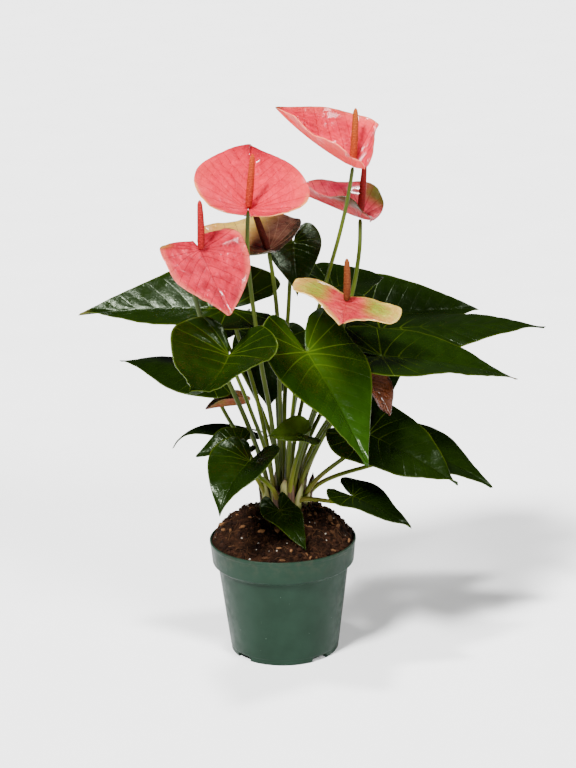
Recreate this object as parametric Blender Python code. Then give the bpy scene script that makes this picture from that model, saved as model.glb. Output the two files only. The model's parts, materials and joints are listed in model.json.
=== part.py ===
"""A potted anthurium: a plastic nursery pot, its soil and crown, heart-shaped leaves on stalks, and
waxy spathes with their spadices on taller stalks. Metres, +Z up. The origin is the middle of the pot's
underside, and the plant is seen from -Y, with +X to the right.

Every leaf and every spathe is one blade: a heart-shaped outline laid on a midrib that bends, with the
two halves folded up and cupped. Every stalk is a tapered tube from its foot on the crown to just under
the blade that it carries.
"""

import math
from collections import namedtuple

import bmesh
import bpy
from mathutils import Matrix, Vector, noise

MM = 0.001

# Clearance between pieces that touch in the real plant
GAP = 0.3 * MM

# The pot, as radii of its outside
POT_HEIGHT = 95.5 * MM
RIM_RADIUS = 60.0 * MM
BAND_DEPTH = 19.0 * MM
BAND_TAPER = 2.0 * MM
BAND_STEP = 4.5 * MM
STEP_DEPTH = 3.0 * MM
BASE_RADIUS = 44.5 * MM
BASE_CHAMFER = 2.0 * MM
POT_WALL = 1.5 * MM
POT_FLOOR = 2.5 * MM
POT_SEGMENTS = 48
POT_SHARP_EDGE = 25.0

# Drain notches cut through the pot's bottom edge
NOTCH_COUNT = 4
NOTCH_START = -50.0
NOTCH_WIDTH = 15.0 * MM
NOTCH_HEIGHT = 4.0 * MM
NOTCH_REACH = 5.0 * MM

# The soil, heaped above the rim and sloping down to the front
HEAP = 22.0 * MM
HEAP_SLOPE = 0.85
HEAP_SQUARENESS = 4.0
SOIL_BELOW_RIM = 2.0 * MM
SOIL_LUMPS = 1.2 * MM
SOIL_LUMP_SIZE = 9.0 * MM
SOIL_SEGMENTS = 36
SOIL_RINGS = 9

# The crown, the short woody stem that the stalks rise from, set back from the pot's axis
CROWN_WIDTH = 52.0 * MM
CROWN_DEPTH = 36.0 * MM
CROWN_ABOVE_SOIL = 2.0 * MM
CROWN_IN_SOIL = 20.0 * MM
CROWN_BACK = 20.0 * MM
CROWN_TAPER = 0.7
CROWN_TOP = POT_HEIGHT + HEAP + CROWN_ABOVE_SOIL

# The blades and their stalks
PLANT_SCALE = 1.0
LEAF_THICKNESS = 0.9 * MM
SPATHE_THICKNESS = 1.0 * MM
LEAF_STALK_TOP = 1.6 * MM
FLOWER_STALK_TOP = 1.7 * MM
BLADE_STEPS_ACROSS = 3
MIDRIB_STEPS = 12
DROOP_LATENESS = 1.3
LEAST_CUP = 0.001

# The feet of the stalks, spread over the crown
FOOT_RADIUS = 2.3 * MM
FOOT_GAP = 0.7 * MM
FOOT_EDGE = 1.5
FOOT_OUTWARD = 0.7
SPREAD_ROUNDS = 600

# A stalk leaves its foot upright and arrives under its blade, each for a share of the way between
STALK_EASE = 0.3
STALK_POINTS = 11
STALK_BEVEL_RESOLUTION = 2
ARRIVES_UP = 0.6
ARRIVES_FORWARD = 0.4

# The spadix, as (share of its length, share of its radius)
SPADIX_RADIUS = 2.9 * MM
SPADIX_PROFILE = [(0, 0.8), (0.12, 1), (0.45, 0.92), (0.75, 0.78), (0.92, 0.62), (0.985, 0.38), (1, 0.12)]

# A finish is a colour, a roughness and a metallic value
Finish = namedtuple("Finish", "colour roughness metallic")
POT_GREEN = Finish((0.045, 0.105, 0.065), 0.45, 0)
SOIL_BROWN = Finish((0.05, 0.025, 0.015), 0.95, 0)
CROWN_BROWN = Finish((0.20, 0.17, 0.06), 0.8, 0)
STALK_GREEN = Finish((0.17, 0.25, 0.05), 0.4, 0)
LEAF_GREEN = Finish((0.025, 0.09, 0.018), 0.3, 0)
YOUNG_GREEN = Finish((0.13, 0.24, 0.045), 0.35, 0)
CORAL = Finish((0.78, 0.13, 0.12), 0.22, 0)
PINK = Finish((0.70, 0.20, 0.22), 0.25, 0)
DUSKY_PINK = Finish((0.50, 0.16, 0.17), 0.3, 0)
FADED_MAUVE = Finish((0.45, 0.24, 0.22), 0.35, 0)
PEACH = Finish((0.72, 0.42, 0.28), 0.3, 0)
BUD_GREEN = Finish((0.35, 0.24, 0.10), 0.35, 0)
WITHERED_BROWN = Finish((0.24, 0.09, 0.04), 0.6, 0)
SPADIX_ORANGE = Finish((0.62, 0.24, 0.07), 0.6, 0)
SPADIX_RED = Finish((0.45, 0.08, 0.05), 0.6, 0)
SPADIX_BROWN = Finish((0.16, 0.06, 0.03), 0.7, 0)

# A blade's outline as (along the midrib, out from it): along is a share of the length from the stalk
# to the tip, and out is a share of half the width. The edge runs from the back of a lobe round to the
# tip, and the spine runs beside it from the notch between the lobes, through the stalk, along the midrib.
# lobe is how far back the lobes reach.
Outline = namedtuple("Outline", "edge spine lobe")
LEAF = Outline(
    edge=[(-0.29, 0.34), (-0.33, 0.56), (-0.25, 0.81), (-0.07, 0.98), (0.14, 1.0),
          (0.35, 0.85), (0.55, 0.60), (0.74, 0.33), (0.89, 0.11), (1.0, 0.0)],
    spine=[(-0.23, 0.24), (-0.17, 0.14), (-0.09, 0.06), (0.0, 0.0), (0.10, 0.0),
           (0.23, 0.0), (0.39, 0.0), (0.57, 0.0), (0.78, 0.0), (1.0, 0.0)],
    lobe=0.33,
)
SPATHE = Outline(
    edge=[(-0.17, 0.12), (-0.23, 0.42), (-0.19, 0.75), (-0.04, 0.97), (0.17, 1.0),
          (0.40, 0.88), (0.62, 0.65), (0.80, 0.38), (0.93, 0.14), (1.0, 0.0)],
    spine=[(-0.13, 0.04), (-0.09, 0.03), (-0.04, 0.01), (0.0, 0.0), (0.12, 0.0),
           (0.26, 0.0), (0.42, 0.0), (0.60, 0.0), (0.80, 0.0), (1.0, 0.0)],
    lobe=0.33,
)

# One row for each blade. at is where the stalk meets it, in mm from the pot's axis and above the crown.
# heading is where the tip points, in degrees from +X towards +Y, and pitch its slope there. droop is how
# far the midrib bends down by the tip, swing how far it bends left, roll how far the left half is raised,
# fold how far both halves are raised, cup how much more they rise by the edge, lift how far the lobes
# are raised at the back. bow pushes the middle of the stalk, in mm.
Blade = namedtuple("Blade", "at heading pitch droop swing roll fold cup lift length width bow")

LEAVES = {
    "far_left": Blade((-40, 30, 162), 175, 1, 10, 0, -26, 24, -8, 0, 124, 88, (0, 0, 0)),
    "mid_left": Blade((-58, 25, 111), 168, 10, 12, 0, -12, -10, -8, 0, 75, 62, (0, 0, 0)),
    "front_left": Blade((-38, -68, 151), 247, -28, -54, 0, -6, 30, -6, 40, 84, 94, (0, 0, 0)),
    "front_centre": Blade((22, -48, 146), 306, -38, 14, 0, -4, 14, -14, 40, 106, 92, (4, 0, 0)),
    "upper_right": Blade((76, 106, 131), 14, 5, 16, 0, 28, 20, -10, 0, 102, 86, (0, 0, 0)),
    "long_right": Blade((84, 60, 134), 7, 1, 8, 0, 14, -4, -10, 0, 141, 77, (0, 4, 0)),
    "lower_right": Blade((82, 0, 128), 9, -7, 16, 0, 14, 12, -8, 0, 118, 80, (-4, 6, 0)),
    "back_centre": Blade((14, 66, 208), 276, -54, 20, 0, 0, 20, -10, 0, 46, 46, (0, -8, 0)),
    "back_right": Blade((46, 84, 164), 35, 6, 16, 0, 22, 16, -10, 0, 56, 56, (0, 0, 0)),
    "back_left": Blade((-46, 62, 134), 57, 17, 10, 0, 0, 26, -10, 0, 44, 50, (14, 4, 0)),
    "inner_back": Blade((-6, 88, 116), 262, -58, 8, 0, 0, 6, -10, 20, 56, 66, (0, 10, 0)),
    "inner_right": Blade((80, 32, 111), 296, -51, 10, 0, 0, 14, -10, 20, 32, 42, (0, 4, 0)),
    "low_left": Blade((-25, -45, 57), 236, -16, 50, 0, 0, 24, -10, 30, 56, 62, (0, 0, 0)),
    "low_right": Blade((70, -16, 68), 334, -18, 16, 0, 20, 10, -10, 20, 84, 78, (0, 0, 0)),
    "low_right_far": Blade((104, 16, 48), 343, -18, 16, 0, 14, 10, -10, 20, 78, 62, (0, 0, 0)),
    "low_right_small": Blade((57, -20, 17), 327, -12, 16, 0, 10, 12, -10, 20, 57, 42, (0, 0, 0)),
}

# Small leaves, each one piece with its stalk
LEAFLETS = {
    "thin_left": Blade((-35, 45, 58), 163, 8, 70, 0, 0, -30, 0, 0, 68, 28, (0, 0, 0)),
    "low_left_back": Blade((-34, -12, 59), 194, 0, 24, 0, -20, 20, -10, 0, 36, 40, (0, 0, 0)),
    "young": Blade((18, -25, 71), 210, 12, 10, 0, -30, 20, 0, 0, 33, 34, (-2, 0, 0)),
    "soil_front": Blade((-2, -17, 5), 300, -20, 20, 0, 0, 6, -14, 60, 46, 32, (0, 0, 0)),
}

LEAFLET_FINISH = {"young": YOUNG_GREEN}

# Spathes without a spadix, one still rolled up and one withered, each one piece with its stalk
ODD_SPATHES = {
    "rolled_left": Blade((-32, 20, 84), 198, 4, 10, 0, 0, 40, 10, 0, 30, 26, (2, -3, 0)),
    "withered_right": Blade((71, -12, 112), 322, -48, 10, 0, 0, 20, 0, 20, 34, 36, (0, -5, 0)),
}
ODD_SPATHE_FINISH = {"rolled_left": BUD_GREEN, "withered_right": WITHERED_BROWN}

# A spathe is a blade with the spadix standing on it: lean is where that points (heading, slope), in
# degrees, and spadix its length in mm.
Flower = namedtuple("Flower", "spathe lean spadix colour spadix_colour")
FLOWERS = {
    "top_right": Flower(
        Blade((60, -12, 285), 158, 27, -20, 0, -12, 47, -14, 70, 76, 80, (-7, 5, 0)),
        (60, 82), 42, CORAL, SPADIX_ORANGE),
    "top_left": Flower(
        Blade((-21, -30, 257), 87, 32, 0, 0, 10, 16, 10, 20, 72, 95, (0, 0, 0)),
        (10, 84), 40, CORAL, SPADIX_ORANGE),
    "front_left": Flower(
        Blade((-58, -55, 231), 306, -50, 0, 0, 4, 6, 2, -70, 58, 74, (0, -8, 0)),
        (90, 88), 36, PINK, SPADIX_RED),
    "old_left": Flower(
        Blade((-7, 15, 213), 147, 8, 0, 0, -8, 16, 0, 30, 68, 94, (0, 0, 0)),
        (180, 72), 34, FADED_MAUVE, SPADIX_BROWN),
    "right": Flower(
        Blade((67, 30, 235), 160, 20, 0, 0, 0, 34, 0, 20, 62, 68, (0.5, -23, 0)),
        (20, 84), 42, DUSKY_PINK, SPADIX_RED),
    "low_right": Flower(
        Blade((54, -14, 177), 265, -4, 0, 0, -18, 6, 0, 40, 50, 88, (2, -13, 0)),
        (60, 88), 32, PEACH, SPADIX_ORANGE),
}


def turned(vector, axis, degrees):
    return Matrix.Rotation(math.radians(degrees), 3, axis) @ vector


def pointing(heading, slope):
    """The direction at a heading from +X towards +Y and a slope upwards, in degrees."""
    heading, slope = math.radians(heading), math.radians(slope)
    return Vector((
        math.cos(heading) * math.cos(slope),
        math.sin(heading) * math.cos(slope),
        math.sin(slope),
    ))


def place(at):
    """A place given in mm from the pot's axis and above the crown, in the model."""
    return Vector(at) * MM * PLANT_SCALE + Vector((0, 0, CROWN_TOP))


def axes_at(blade, outline, along=0.0):
    """The blade's own forward, left and up directions at a share of its length."""
    forward = pointing(blade.heading, blade.pitch)
    left = turned(pointing(blade.heading + 90, 0), forward, blade.roll)
    if along > 0:
        bend = blade.droop * along**DROOP_LATENESS
    else:
        bend = blade.lift * -along / outline.lobe
    forward = turned(forward, left, bend)
    up = forward.cross(left)
    forward = turned(forward, up, blade.swing * along)
    left = up.cross(forward)
    return forward, left, up


def midrib(blade, outline, along):
    """The point on the midrib, or on its line back between the lobes, at a share of the length."""
    step = along / MIDRIB_STEPS
    point = place(blade.at)
    for i in range(MIDRIB_STEPS):
        forward = axes_at(blade, outline, step * (i + 0.5))[0]
        point += forward * blade.length * MM * PLANT_SCALE * step
    return point


def on_blade(blade, outline, along, out, side):
    """The point of the blade at a share of its length and of its half width, on the left (1) or right."""
    _, left, up = axes_at(blade, outline, along)
    half = blade.width * MM * PLANT_SCALE / 2
    start = math.radians(blade.fold)
    rise = math.radians(blade.cup + LEAST_CUP)
    across = half * (math.sin(start + rise * out) - math.sin(start)) / rise
    above = half * (math.cos(start) - math.cos(start + rise * out)) / rise
    return midrib(blade, outline, along) + left * across * side + up * above


def add_object(name, data, finish):
    """A named object with its own material."""
    obj = bpy.data.objects.new(name, data)
    material = bpy.data.materials.new(name)
    material.use_nodes = True
    shader = material.node_tree.nodes["Principled BSDF"]
    shader.inputs["Base Color"].default_value = (*finish.colour, 1)
    shader.inputs["Roughness"].default_value = finish.roughness
    shader.inputs["Metallic"].default_value = finish.metallic
    data.materials.append(material)
    bpy.context.scene.collection.objects.link(obj)
    return obj


def mesh_data(name, mesh, sharp=None):
    """A finished bmesh as smooth mesh data, with the edges over an angle kept sharp."""
    data = bpy.data.meshes.new(name)
    mesh.to_mesh(data)
    mesh.free()
    data.shade_smooth()
    if sharp is not None:
        data.set_sharp_from_angle(angle=math.radians(sharp))
    return data


def as_cutter(obj):
    obj.hide_render = True
    obj.display_type = "WIRE"


def boolean(obj, operation, other):
    modifier = obj.modifiers.new(other.name, "BOOLEAN")
    modifier.operation = operation
    modifier.object = other


def add_blade(name, blade, outline, thickness, finish):
    """A blade as one thin closed solid, its two halves meeting along the midrib."""
    mesh = bmesh.new()
    steps = len(outline.edge) - 1
    stalk_step = outline.spine.index((0.0, 0.0))
    corners = {}

    def corner(i, j, side):
        tip = i == steps
        on_midrib = i >= stalk_step and j == 0
        key = (i, 0 if tip else j, 0 if on_midrib or tip else side)
        if key not in corners:
            share = j / BLADE_STEPS_ACROSS
            flat = Vector(outline.spine[i]).lerp(Vector(outline.edge[i]), share)
            corners[key] = mesh.verts.new(on_blade(blade, outline, flat.x, flat.y, side))
        return corners[key]

    for side in (1, -1):
        for i in range(steps):
            for j in range(BLADE_STEPS_ACROSS):
                ring = [corner(i, j, side), corner(i + 1, j, side)]
                ring += [corner(i + 1, j + 1, side), corner(i, j + 1, side)]
                ring = list(dict.fromkeys(ring))
                mesh.faces.new(ring if side < 0 else ring[::-1])
    bmesh.ops.triangulate(mesh, faces=mesh.faces)
    mesh.normal_update()
    obj = add_object(name, mesh_data(name, mesh), finish)
    solid = obj.modifiers.new("thickness", "SOLIDIFY")
    solid.thickness = thickness
    solid.offset = 0
    return obj


def stalk_route(foot, end, arriving, bow):
    """Points from a foot on the crown, upright at first, to the end, arriving from below the blade."""
    start = foot + Vector((0, 0, FOOT_RADIUS))
    ease = (end - start).length * STALK_EASE
    leave = start + Vector((0, 0, ease))
    arrive = end - arriving * ease
    points = [foot]
    for k in range(STALK_POINTS):
        t = k / (STALK_POINTS - 1)
        u = 1 - t
        point = u**3 * start + 3 * u**2 * t * leave + 3 * u * t**2 * arrive + t**3 * end
        points.append(point + Vector(bow) * MM * 4 * t * u)
    return points


def add_tube(name, points, radii, finish):
    curve = bpy.data.curves.new(name, "CURVE")
    curve.dimensions = "3D"
    curve.bevel_depth = 1.0
    curve.bevel_resolution = STALK_BEVEL_RESOLUTION
    curve.use_fill_caps = True
    spline = curve.splines.new("POLY")
    spline.points.add(len(points) - 1)
    for bead, point, radius in zip(spline.points, points, radii):
        bead.co = (*point, 1)
        bead.radius = radius
    return add_object(name, curve, finish)


def feet(blades):
    """A foot on the crown for each blade: towards it, further out the lower it stands, then spread apart."""
    spacing = 2 * FOOT_RADIUS + FOOT_GAP
    edge = FOOT_RADIUS * FOOT_EDGE
    room = Vector((CROWN_WIDTH / 2 - edge, CROWN_DEPTH / 2 - edge))
    centre = Vector((0, CROWN_BACK, CROWN_TOP))
    spots = []
    for blade in blades:
        away = place(blade.at) - centre
        slope = math.atan2(away.z, away.xy.length)
        spots.append(away.xy.normalized() * room.x * math.cos(slope) ** FOOT_OUTWARD)
    for _ in range(SPREAD_ROUNDS):
        for i, a in enumerate(spots):
            for b in spots[:i]:
                apart = a - b
                if apart.length < spacing:
                    push = apart.normalized() * (spacing - apart.length) / 2
                    a += push
                    b -= push
        for spot in spots:
            out = math.hypot(spot.x / room.x, spot.y / room.y)
            if out > 1:
                spot /= out
    return [centre + Vector((spot.x, spot.y, GAP)) for spot in spots]


def add_stalk(name, blade, outline, thickness, top_radius, foot, through=False):
    """A stalk from its foot to just under its blade, or through it where they are one piece."""
    forward, _, up = axes_at(blade, outline)
    end = place(blade.at)
    if through:
        end += forward * top_radius
    else:
        end -= up * (top_radius + thickness / 2 + GAP) + forward * top_radius
    arriving = (up + Vector((0, 0, ARRIVES_UP)) + forward * ARRIVES_FORWARD).normalized()
    route = stalk_route(foot, end, arriving, blade.bow)
    last = len(route) - 1
    radii = [FOOT_RADIUS + (top_radius - FOOT_RADIUS) * k / last for k in range(len(route))]
    return add_tube(name, route, radii, STALK_GREEN)


def join(solid, stalk):
    """Makes a stalk part of its blade, as one body."""
    name = stalk.name + "_mesh"
    helper = bpy.data.objects.new(name, bpy.data.meshes.new_from_object(stalk))
    bpy.context.scene.collection.objects.link(helper)
    bpy.data.objects.remove(stalk)
    as_cutter(helper)
    boolean(solid, "UNION", helper)


def add_spadix(name, flower):
    """The finger-shaped spike, from just above the spathe, with a rounded top."""
    up = axes_at(flower.spathe, SPATHE)[2]
    foot = place(flower.spathe.at) + up * (SPADIX_RADIUS + SPATHE_THICKNESS / 2 + GAP)
    way = pointing(*flower.lean) * flower.spadix * MM * PLANT_SCALE
    points = [foot + way * along for along, _ in SPADIX_PROFILE]
    add_tube(name, points, [SPADIX_RADIUS * share for _, share in SPADIX_PROFILE], flower.spadix_colour)


def add_plant():
    """Every blade with its stalk, their feet spread over the crown together."""
    leaf = (LEAF, LEAF_THICKNESS, LEAF_STALK_TOP)
    spathe = (SPATHE, SPATHE_THICKNESS, FLOWER_STALK_TOP)
    rows = [(f"leaf_{key}", f"petiole_{key}", *leaf, LEAF_GREEN, blade) for key, blade in LEAVES.items()]
    for key, blade in LEAFLETS.items():
        rows.append((f"leaf_{key}", None, *leaf, LEAFLET_FINISH.get(key, LEAF_GREEN), blade))
    for key, blade in ODD_SPATHES.items():
        rows.append((f"spathe_{key}", None, *spathe, ODD_SPATHE_FINISH[key], blade))
    for key, flower in FLOWERS.items():
        rows.append((f"spathe_{key}", f"peduncle_{key}", *spathe, flower.colour, flower.spathe))
        add_spadix(f"spadix_{key}", flower)
    for row, foot in zip(rows, feet([row[-1] for row in rows])):
        name, stalk_name, outline, thickness, top_radius, finish, blade = row
        solid = add_blade(name, blade, outline, thickness, finish)
        if stalk_name:
            add_stalk(stalk_name, blade, outline, thickness, top_radius, foot)
        else:
            stalk = add_stalk(f"{name}_stalk", blade, outline, thickness, top_radius, foot, through=True)
            join(solid, stalk)


def body_top():
    """The height where the pot's tapered body ends and the step out to the band begins."""
    return POT_HEIGHT - BAND_DEPTH - STEP_DEPTH


def body_radius():
    """The outside radius of the pot's body there."""
    return RIM_RADIUS - BAND_TAPER - BAND_STEP


def add_pot():
    """The pot, turned from a profile of its inside and outside, with its bottom edge notched."""
    band_foot = POT_HEIGHT - BAND_DEPTH
    lip = POT_WALL / 3
    profile = [
        (0, POT_FLOOR),
        (BASE_RADIUS - POT_WALL, POT_FLOOR),
        (body_radius() - POT_WALL, body_top()),
        (RIM_RADIUS - BAND_TAPER - POT_WALL, band_foot),
        (RIM_RADIUS - POT_WALL, POT_HEIGHT - lip),
        (RIM_RADIUS - POT_WALL + lip, POT_HEIGHT),
        (RIM_RADIUS - lip, POT_HEIGHT),
        (RIM_RADIUS, POT_HEIGHT - lip),
        (RIM_RADIUS - BAND_TAPER, band_foot),
        (body_radius(), body_top()),
        (BASE_RADIUS, BASE_CHAMFER),
        (BASE_RADIUS - BASE_CHAMFER, 0),
        (0, 0),
    ]
    mesh = bmesh.new()
    points = [mesh.verts.new((radius, 0, height)) for radius, height in profile]
    edges = [mesh.edges.new(pair) for pair in zip(points, points[1:])]
    bmesh.ops.spin(mesh, geom=points + edges, axis=(0, 0, 1), angle=math.tau, steps=POT_SEGMENTS,
                   use_merge=True)
    bmesh.ops.remove_doubles(mesh, verts=mesh.verts, dist=GAP / 10)
    bmesh.ops.recalc_face_normals(mesh, faces=mesh.faces)
    pot = add_object("pot", mesh_data("pot", mesh, POT_SHARP_EDGE), POT_GREEN)
    for k in range(NOTCH_COUNT):
        turn = Matrix.Rotation(math.radians(NOTCH_START + k * 360 / NOTCH_COUNT), 4, "Z")
        size = Matrix.Diagonal((NOTCH_REACH * 2, NOTCH_WIDTH, NOTCH_HEIGHT * 2, 1))
        mesh = bmesh.new()
        bmesh.ops.create_cube(mesh, size=1, matrix=turn @ Matrix.Translation((BASE_RADIUS, 0, 0)) @ size)
        name = f"notch_{k}"
        cutter = add_object(name, mesh_data(name, mesh), POT_GREEN)
        as_cutter(cutter)
        boolean(pot, "DIFFERENCE", cutter)


def soil_top(x, y):
    """The height of the heaped soil over a place inside the rim."""
    room = RIM_RADIUS - POT_WALL - GAP
    share = min(1.0, math.hypot(x, y) / room)
    front = max(0.0, -y / room)
    heap = (HEAP + SOIL_BELOW_RIM) * (1 - share**HEAP_SQUARENESS) * (1 - HEAP_SLOPE * front)
    lump = noise.noise(Vector((x, y, 0)) / SOIL_LUMP_SIZE) * SOIL_LUMPS * (1 - share)
    return POT_HEIGHT - SOIL_BELOW_RIM + heap + lump


def soil_rings():
    """Radii and heights of the soil's rings, from its top down the inside of the pot. A ring on the
    heap has no height of its own."""
    inside = POT_WALL + GAP * 2
    rings = []
    for k in range(1, SOIL_RINGS + 1):
        rings.append(((RIM_RADIUS - inside) * math.sin(math.pi / 2 * k / SOIL_RINGS), None))
    rings.append((RIM_RADIUS - BAND_TAPER - inside, POT_HEIGHT - BAND_DEPTH + GAP))
    rings.append((body_radius() - inside, body_top()))
    rings.append((BASE_RADIUS - inside, POT_FLOOR + NOTCH_HEIGHT))
    rings.append((BASE_RADIUS - inside - NOTCH_REACH, POT_FLOOR + GAP))
    return rings


def add_soil():
    """The root ball: it fills the pot and is heaped above the rim, with a pit for the crown."""
    mesh = bmesh.new()
    loops = []
    for radius, height in soil_rings():
        loop = []
        for k in range(SOIL_SEGMENTS):
            angle = math.tau * k / SOIL_SEGMENTS
            x, y = radius * math.cos(angle), radius * math.sin(angle)
            loop.append(mesh.verts.new((x, y, soil_top(x, y) if height is None else height)))
        loops.append(loop)
    top = mesh.verts.new((0, 0, soil_top(0, 0)))
    bottom = mesh.verts.new((0, 0, POT_FLOOR + GAP))
    for k in range(SOIL_SEGMENTS):
        after = (k + 1) % SOIL_SEGMENTS
        mesh.faces.new((top, loops[0][k], loops[0][after]))
        mesh.faces.new((bottom, loops[-1][after], loops[-1][k]))
        for upper, lower in zip(loops, loops[1:]):
            mesh.faces.new((upper[k], lower[k], lower[after], upper[after]))
    soil = add_object("soil", mesh_data("soil", mesh), SOIL_BROWN)
    pit = add_crown("crown_pit", grow=GAP)
    as_cutter(pit)
    boolean(soil, "DIFFERENCE", pit)


def add_crown(name, grow=0.0):
    """An oval plug, narrower at its foot. grow is how much larger it is on every side."""
    height = CROWN_ABOVE_SOIL + CROWN_IN_SOIL + 2 * grow
    middle = Matrix.Translation((0, CROWN_BACK, CROWN_TOP + grow - height / 2))
    oval = Matrix.Diagonal((CROWN_WIDTH / 2 + grow, CROWN_DEPTH / 2 + grow, 1, 1))
    mesh = bmesh.new()
    bmesh.ops.create_cone(mesh, cap_ends=True, segments=SOIL_SEGMENTS, radius1=CROWN_TAPER, radius2=1,
                          depth=height, matrix=middle @ oval)
    return add_object(name, mesh_data(name, mesh, POT_SHARP_EDGE), CROWN_BROWN)


def main():
    for obj in list(bpy.data.objects):
        bpy.data.objects.remove(obj)
    add_pot()
    add_soil()
    add_crown("crown")
    add_plant()


main()
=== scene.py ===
"""The looks of the potted anthurium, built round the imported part. Metres, +Z up, in the part's own frame:
the origin is the middle of the pot's underside, and the plant is seen from -Y, with +X to the right.

Each leaf, spathe, stalk and spadix is made again here on the part's own layout, in a finer mesh with its
veins, ruffles and swellings, and stands for its CAD node.
"""

import json
from collections import namedtuple
from math import atan2, cos, hypot, pi, radians, sin, sqrt

import bmesh
import bpy
import numpy as np
from mathutils import Matrix, Vector, noise

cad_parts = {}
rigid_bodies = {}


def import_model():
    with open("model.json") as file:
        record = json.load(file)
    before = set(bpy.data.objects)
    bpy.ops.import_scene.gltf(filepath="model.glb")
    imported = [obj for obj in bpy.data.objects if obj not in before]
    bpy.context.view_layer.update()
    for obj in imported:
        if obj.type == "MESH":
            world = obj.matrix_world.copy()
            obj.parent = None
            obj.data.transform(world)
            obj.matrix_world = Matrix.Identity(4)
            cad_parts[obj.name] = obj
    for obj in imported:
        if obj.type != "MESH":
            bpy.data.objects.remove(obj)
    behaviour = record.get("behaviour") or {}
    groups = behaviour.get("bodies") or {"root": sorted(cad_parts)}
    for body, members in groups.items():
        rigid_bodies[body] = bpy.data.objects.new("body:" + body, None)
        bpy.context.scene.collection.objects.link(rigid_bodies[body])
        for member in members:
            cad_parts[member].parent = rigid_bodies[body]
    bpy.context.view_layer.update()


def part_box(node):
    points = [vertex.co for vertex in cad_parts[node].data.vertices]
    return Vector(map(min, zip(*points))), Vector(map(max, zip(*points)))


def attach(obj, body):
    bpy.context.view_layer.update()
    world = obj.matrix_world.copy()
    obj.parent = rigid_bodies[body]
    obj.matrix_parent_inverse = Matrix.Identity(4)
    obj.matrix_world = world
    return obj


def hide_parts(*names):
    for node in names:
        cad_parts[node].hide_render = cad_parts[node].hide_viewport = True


for old in list(bpy.data.objects):
    bpy.data.objects.remove(old)
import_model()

MM = 0.001
SEED = 7
rng = np.random.default_rng(SEED)
noise.seed_set(SEED)

# Sizes read from the part
pot_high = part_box("pot")[1]
crown_low, crown_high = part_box("crown")
POT_HEIGHT = pot_high.z
RIM_RADIUS = pot_high.x
CROWN_TOP = crown_high.z
CROWN_WIDTH = crown_high.x - crown_low.x
CROWN_DEPTH = crown_high.y - crown_low.y
CROWN_BACK = (crown_high.y + crown_low.y) / 2

# The part's own design values
BAND_DEPTH = 19.0 * MM
BAND_TAPER = 2.0 * MM
BAND_STEP = 4.5 * MM
STEP_DEPTH = 3.0 * MM
BASE_RADIUS = 44.5 * MM
POT_WALL = 1.5 * MM
POT_FLOOR = 2.5 * MM
NOTCH_COUNT = 4
NOTCH_START = -50.0
NOTCH_WIDTH = 15.0 * MM
NOTCH_HEIGHT = 4.0 * MM
NOTCH_REACH = 5.0 * MM
HEAP = 22.0 * MM
HEAP_SLOPE = 0.85
HEAP_SQUARENESS = 4.0
SOIL_BELOW_RIM = 2.0 * MM
FOOT_RADIUS = 2.3 * MM
FOOT_GAP = 0.7 * MM
LEAF_STALK_TOP = 1.6 * MM
FLOWER_STALK_TOP = 1.7 * MM
SPADIX_RADIUS = 2.9 * MM

# Blades as thin as real ones, thinner than the part's own
LEAF_THICKNESS = 0.55 * MM
SPATHE_THICKNESS = 0.7 * MM

# The main veins, as (where it leaves the midrib, how far along it has run by the widest, how it bends)
LEAF_VEINS = [(0.0, -0.52, 1.0), (0.0, -0.24, 1.05), (0.0, 0.02, 1.15), (0.02, 0.22, 1.3), (0.12, 0.30, 1.25),
              (0.24, 0.33, 1.2), (0.36, 0.35, 1.15), (0.48, 0.37, 1.1), (0.60, 0.40, 1.05), (0.72, 0.42, 1.0)]
SPATHE_VEINS = [(0.0, -0.30, 0.9), (0.0, -0.14, 1.0), (0.0, 0.06, 1.15), (0.0, 0.28, 1.4), (0.02, 0.52, 1.5),
                (0.10, 0.66, 1.4), (0.24, 0.72, 1.3), (0.40, 0.70, 1.2), (0.58, 0.66, 1.1)]

# A blade's outline as (along the midrib, out from it): along is a share of the length from the stalk
# to the tip, and out is a share of half the width. Both lists start together at the end of a lobe.
# relief is how far it ruffles, in how many waves a side, how far it swells between its veins and how deep
# the veins lie, all but the waves in mm.
Outline = namedtuple("Outline", "edge spine veins thickness relief")
LEAF = Outline(
    edge=[(-0.272, 0.27), (-0.30, 0.36), (-0.33, 0.56), (-0.25, 0.81), (-0.07, 0.98), (0.14, 1.0),
          (0.35, 0.85), (0.55, 0.60), (0.74, 0.33), (0.89, 0.11), (1.0, 0.0)],
    spine=[(-0.272, 0.27), (-0.23, 0.22), (-0.17, 0.14), (-0.09, 0.06), (0.0, 0.0), (0.10, 0.0),
           (0.23, 0.0), (0.39, 0.0), (0.57, 0.0), (0.78, 0.0), (1.0, 0.0)],
    veins=LEAF_VEINS, thickness=LEAF_THICKNESS, relief=(1.4, 1.3, 0.50, 0.32),
)
SPATHE = Outline(
    edge=[(-0.155, 0.06), (-0.18, 0.14), (-0.23, 0.42), (-0.19, 0.75), (-0.04, 0.97), (0.17, 1.0),
          (0.40, 0.88), (0.62, 0.65), (0.80, 0.38), (0.93, 0.14), (1.0, 0.0)],
    spine=[(-0.155, 0.06), (-0.13, 0.04), (-0.09, 0.03), (-0.04, 0.01), (0.0, 0.0), (0.12, 0.0),
           (0.26, 0.0), (0.42, 0.0), (0.60, 0.0), (0.80, 0.0), (1.0, 0.0)],
    veins=SPATHE_VEINS, thickness=SPATHE_THICKNESS, relief=(1.2, 1.4, 0.9, 0.5),
)
STALK_ROW = 4
LOBE = 0.33

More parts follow.
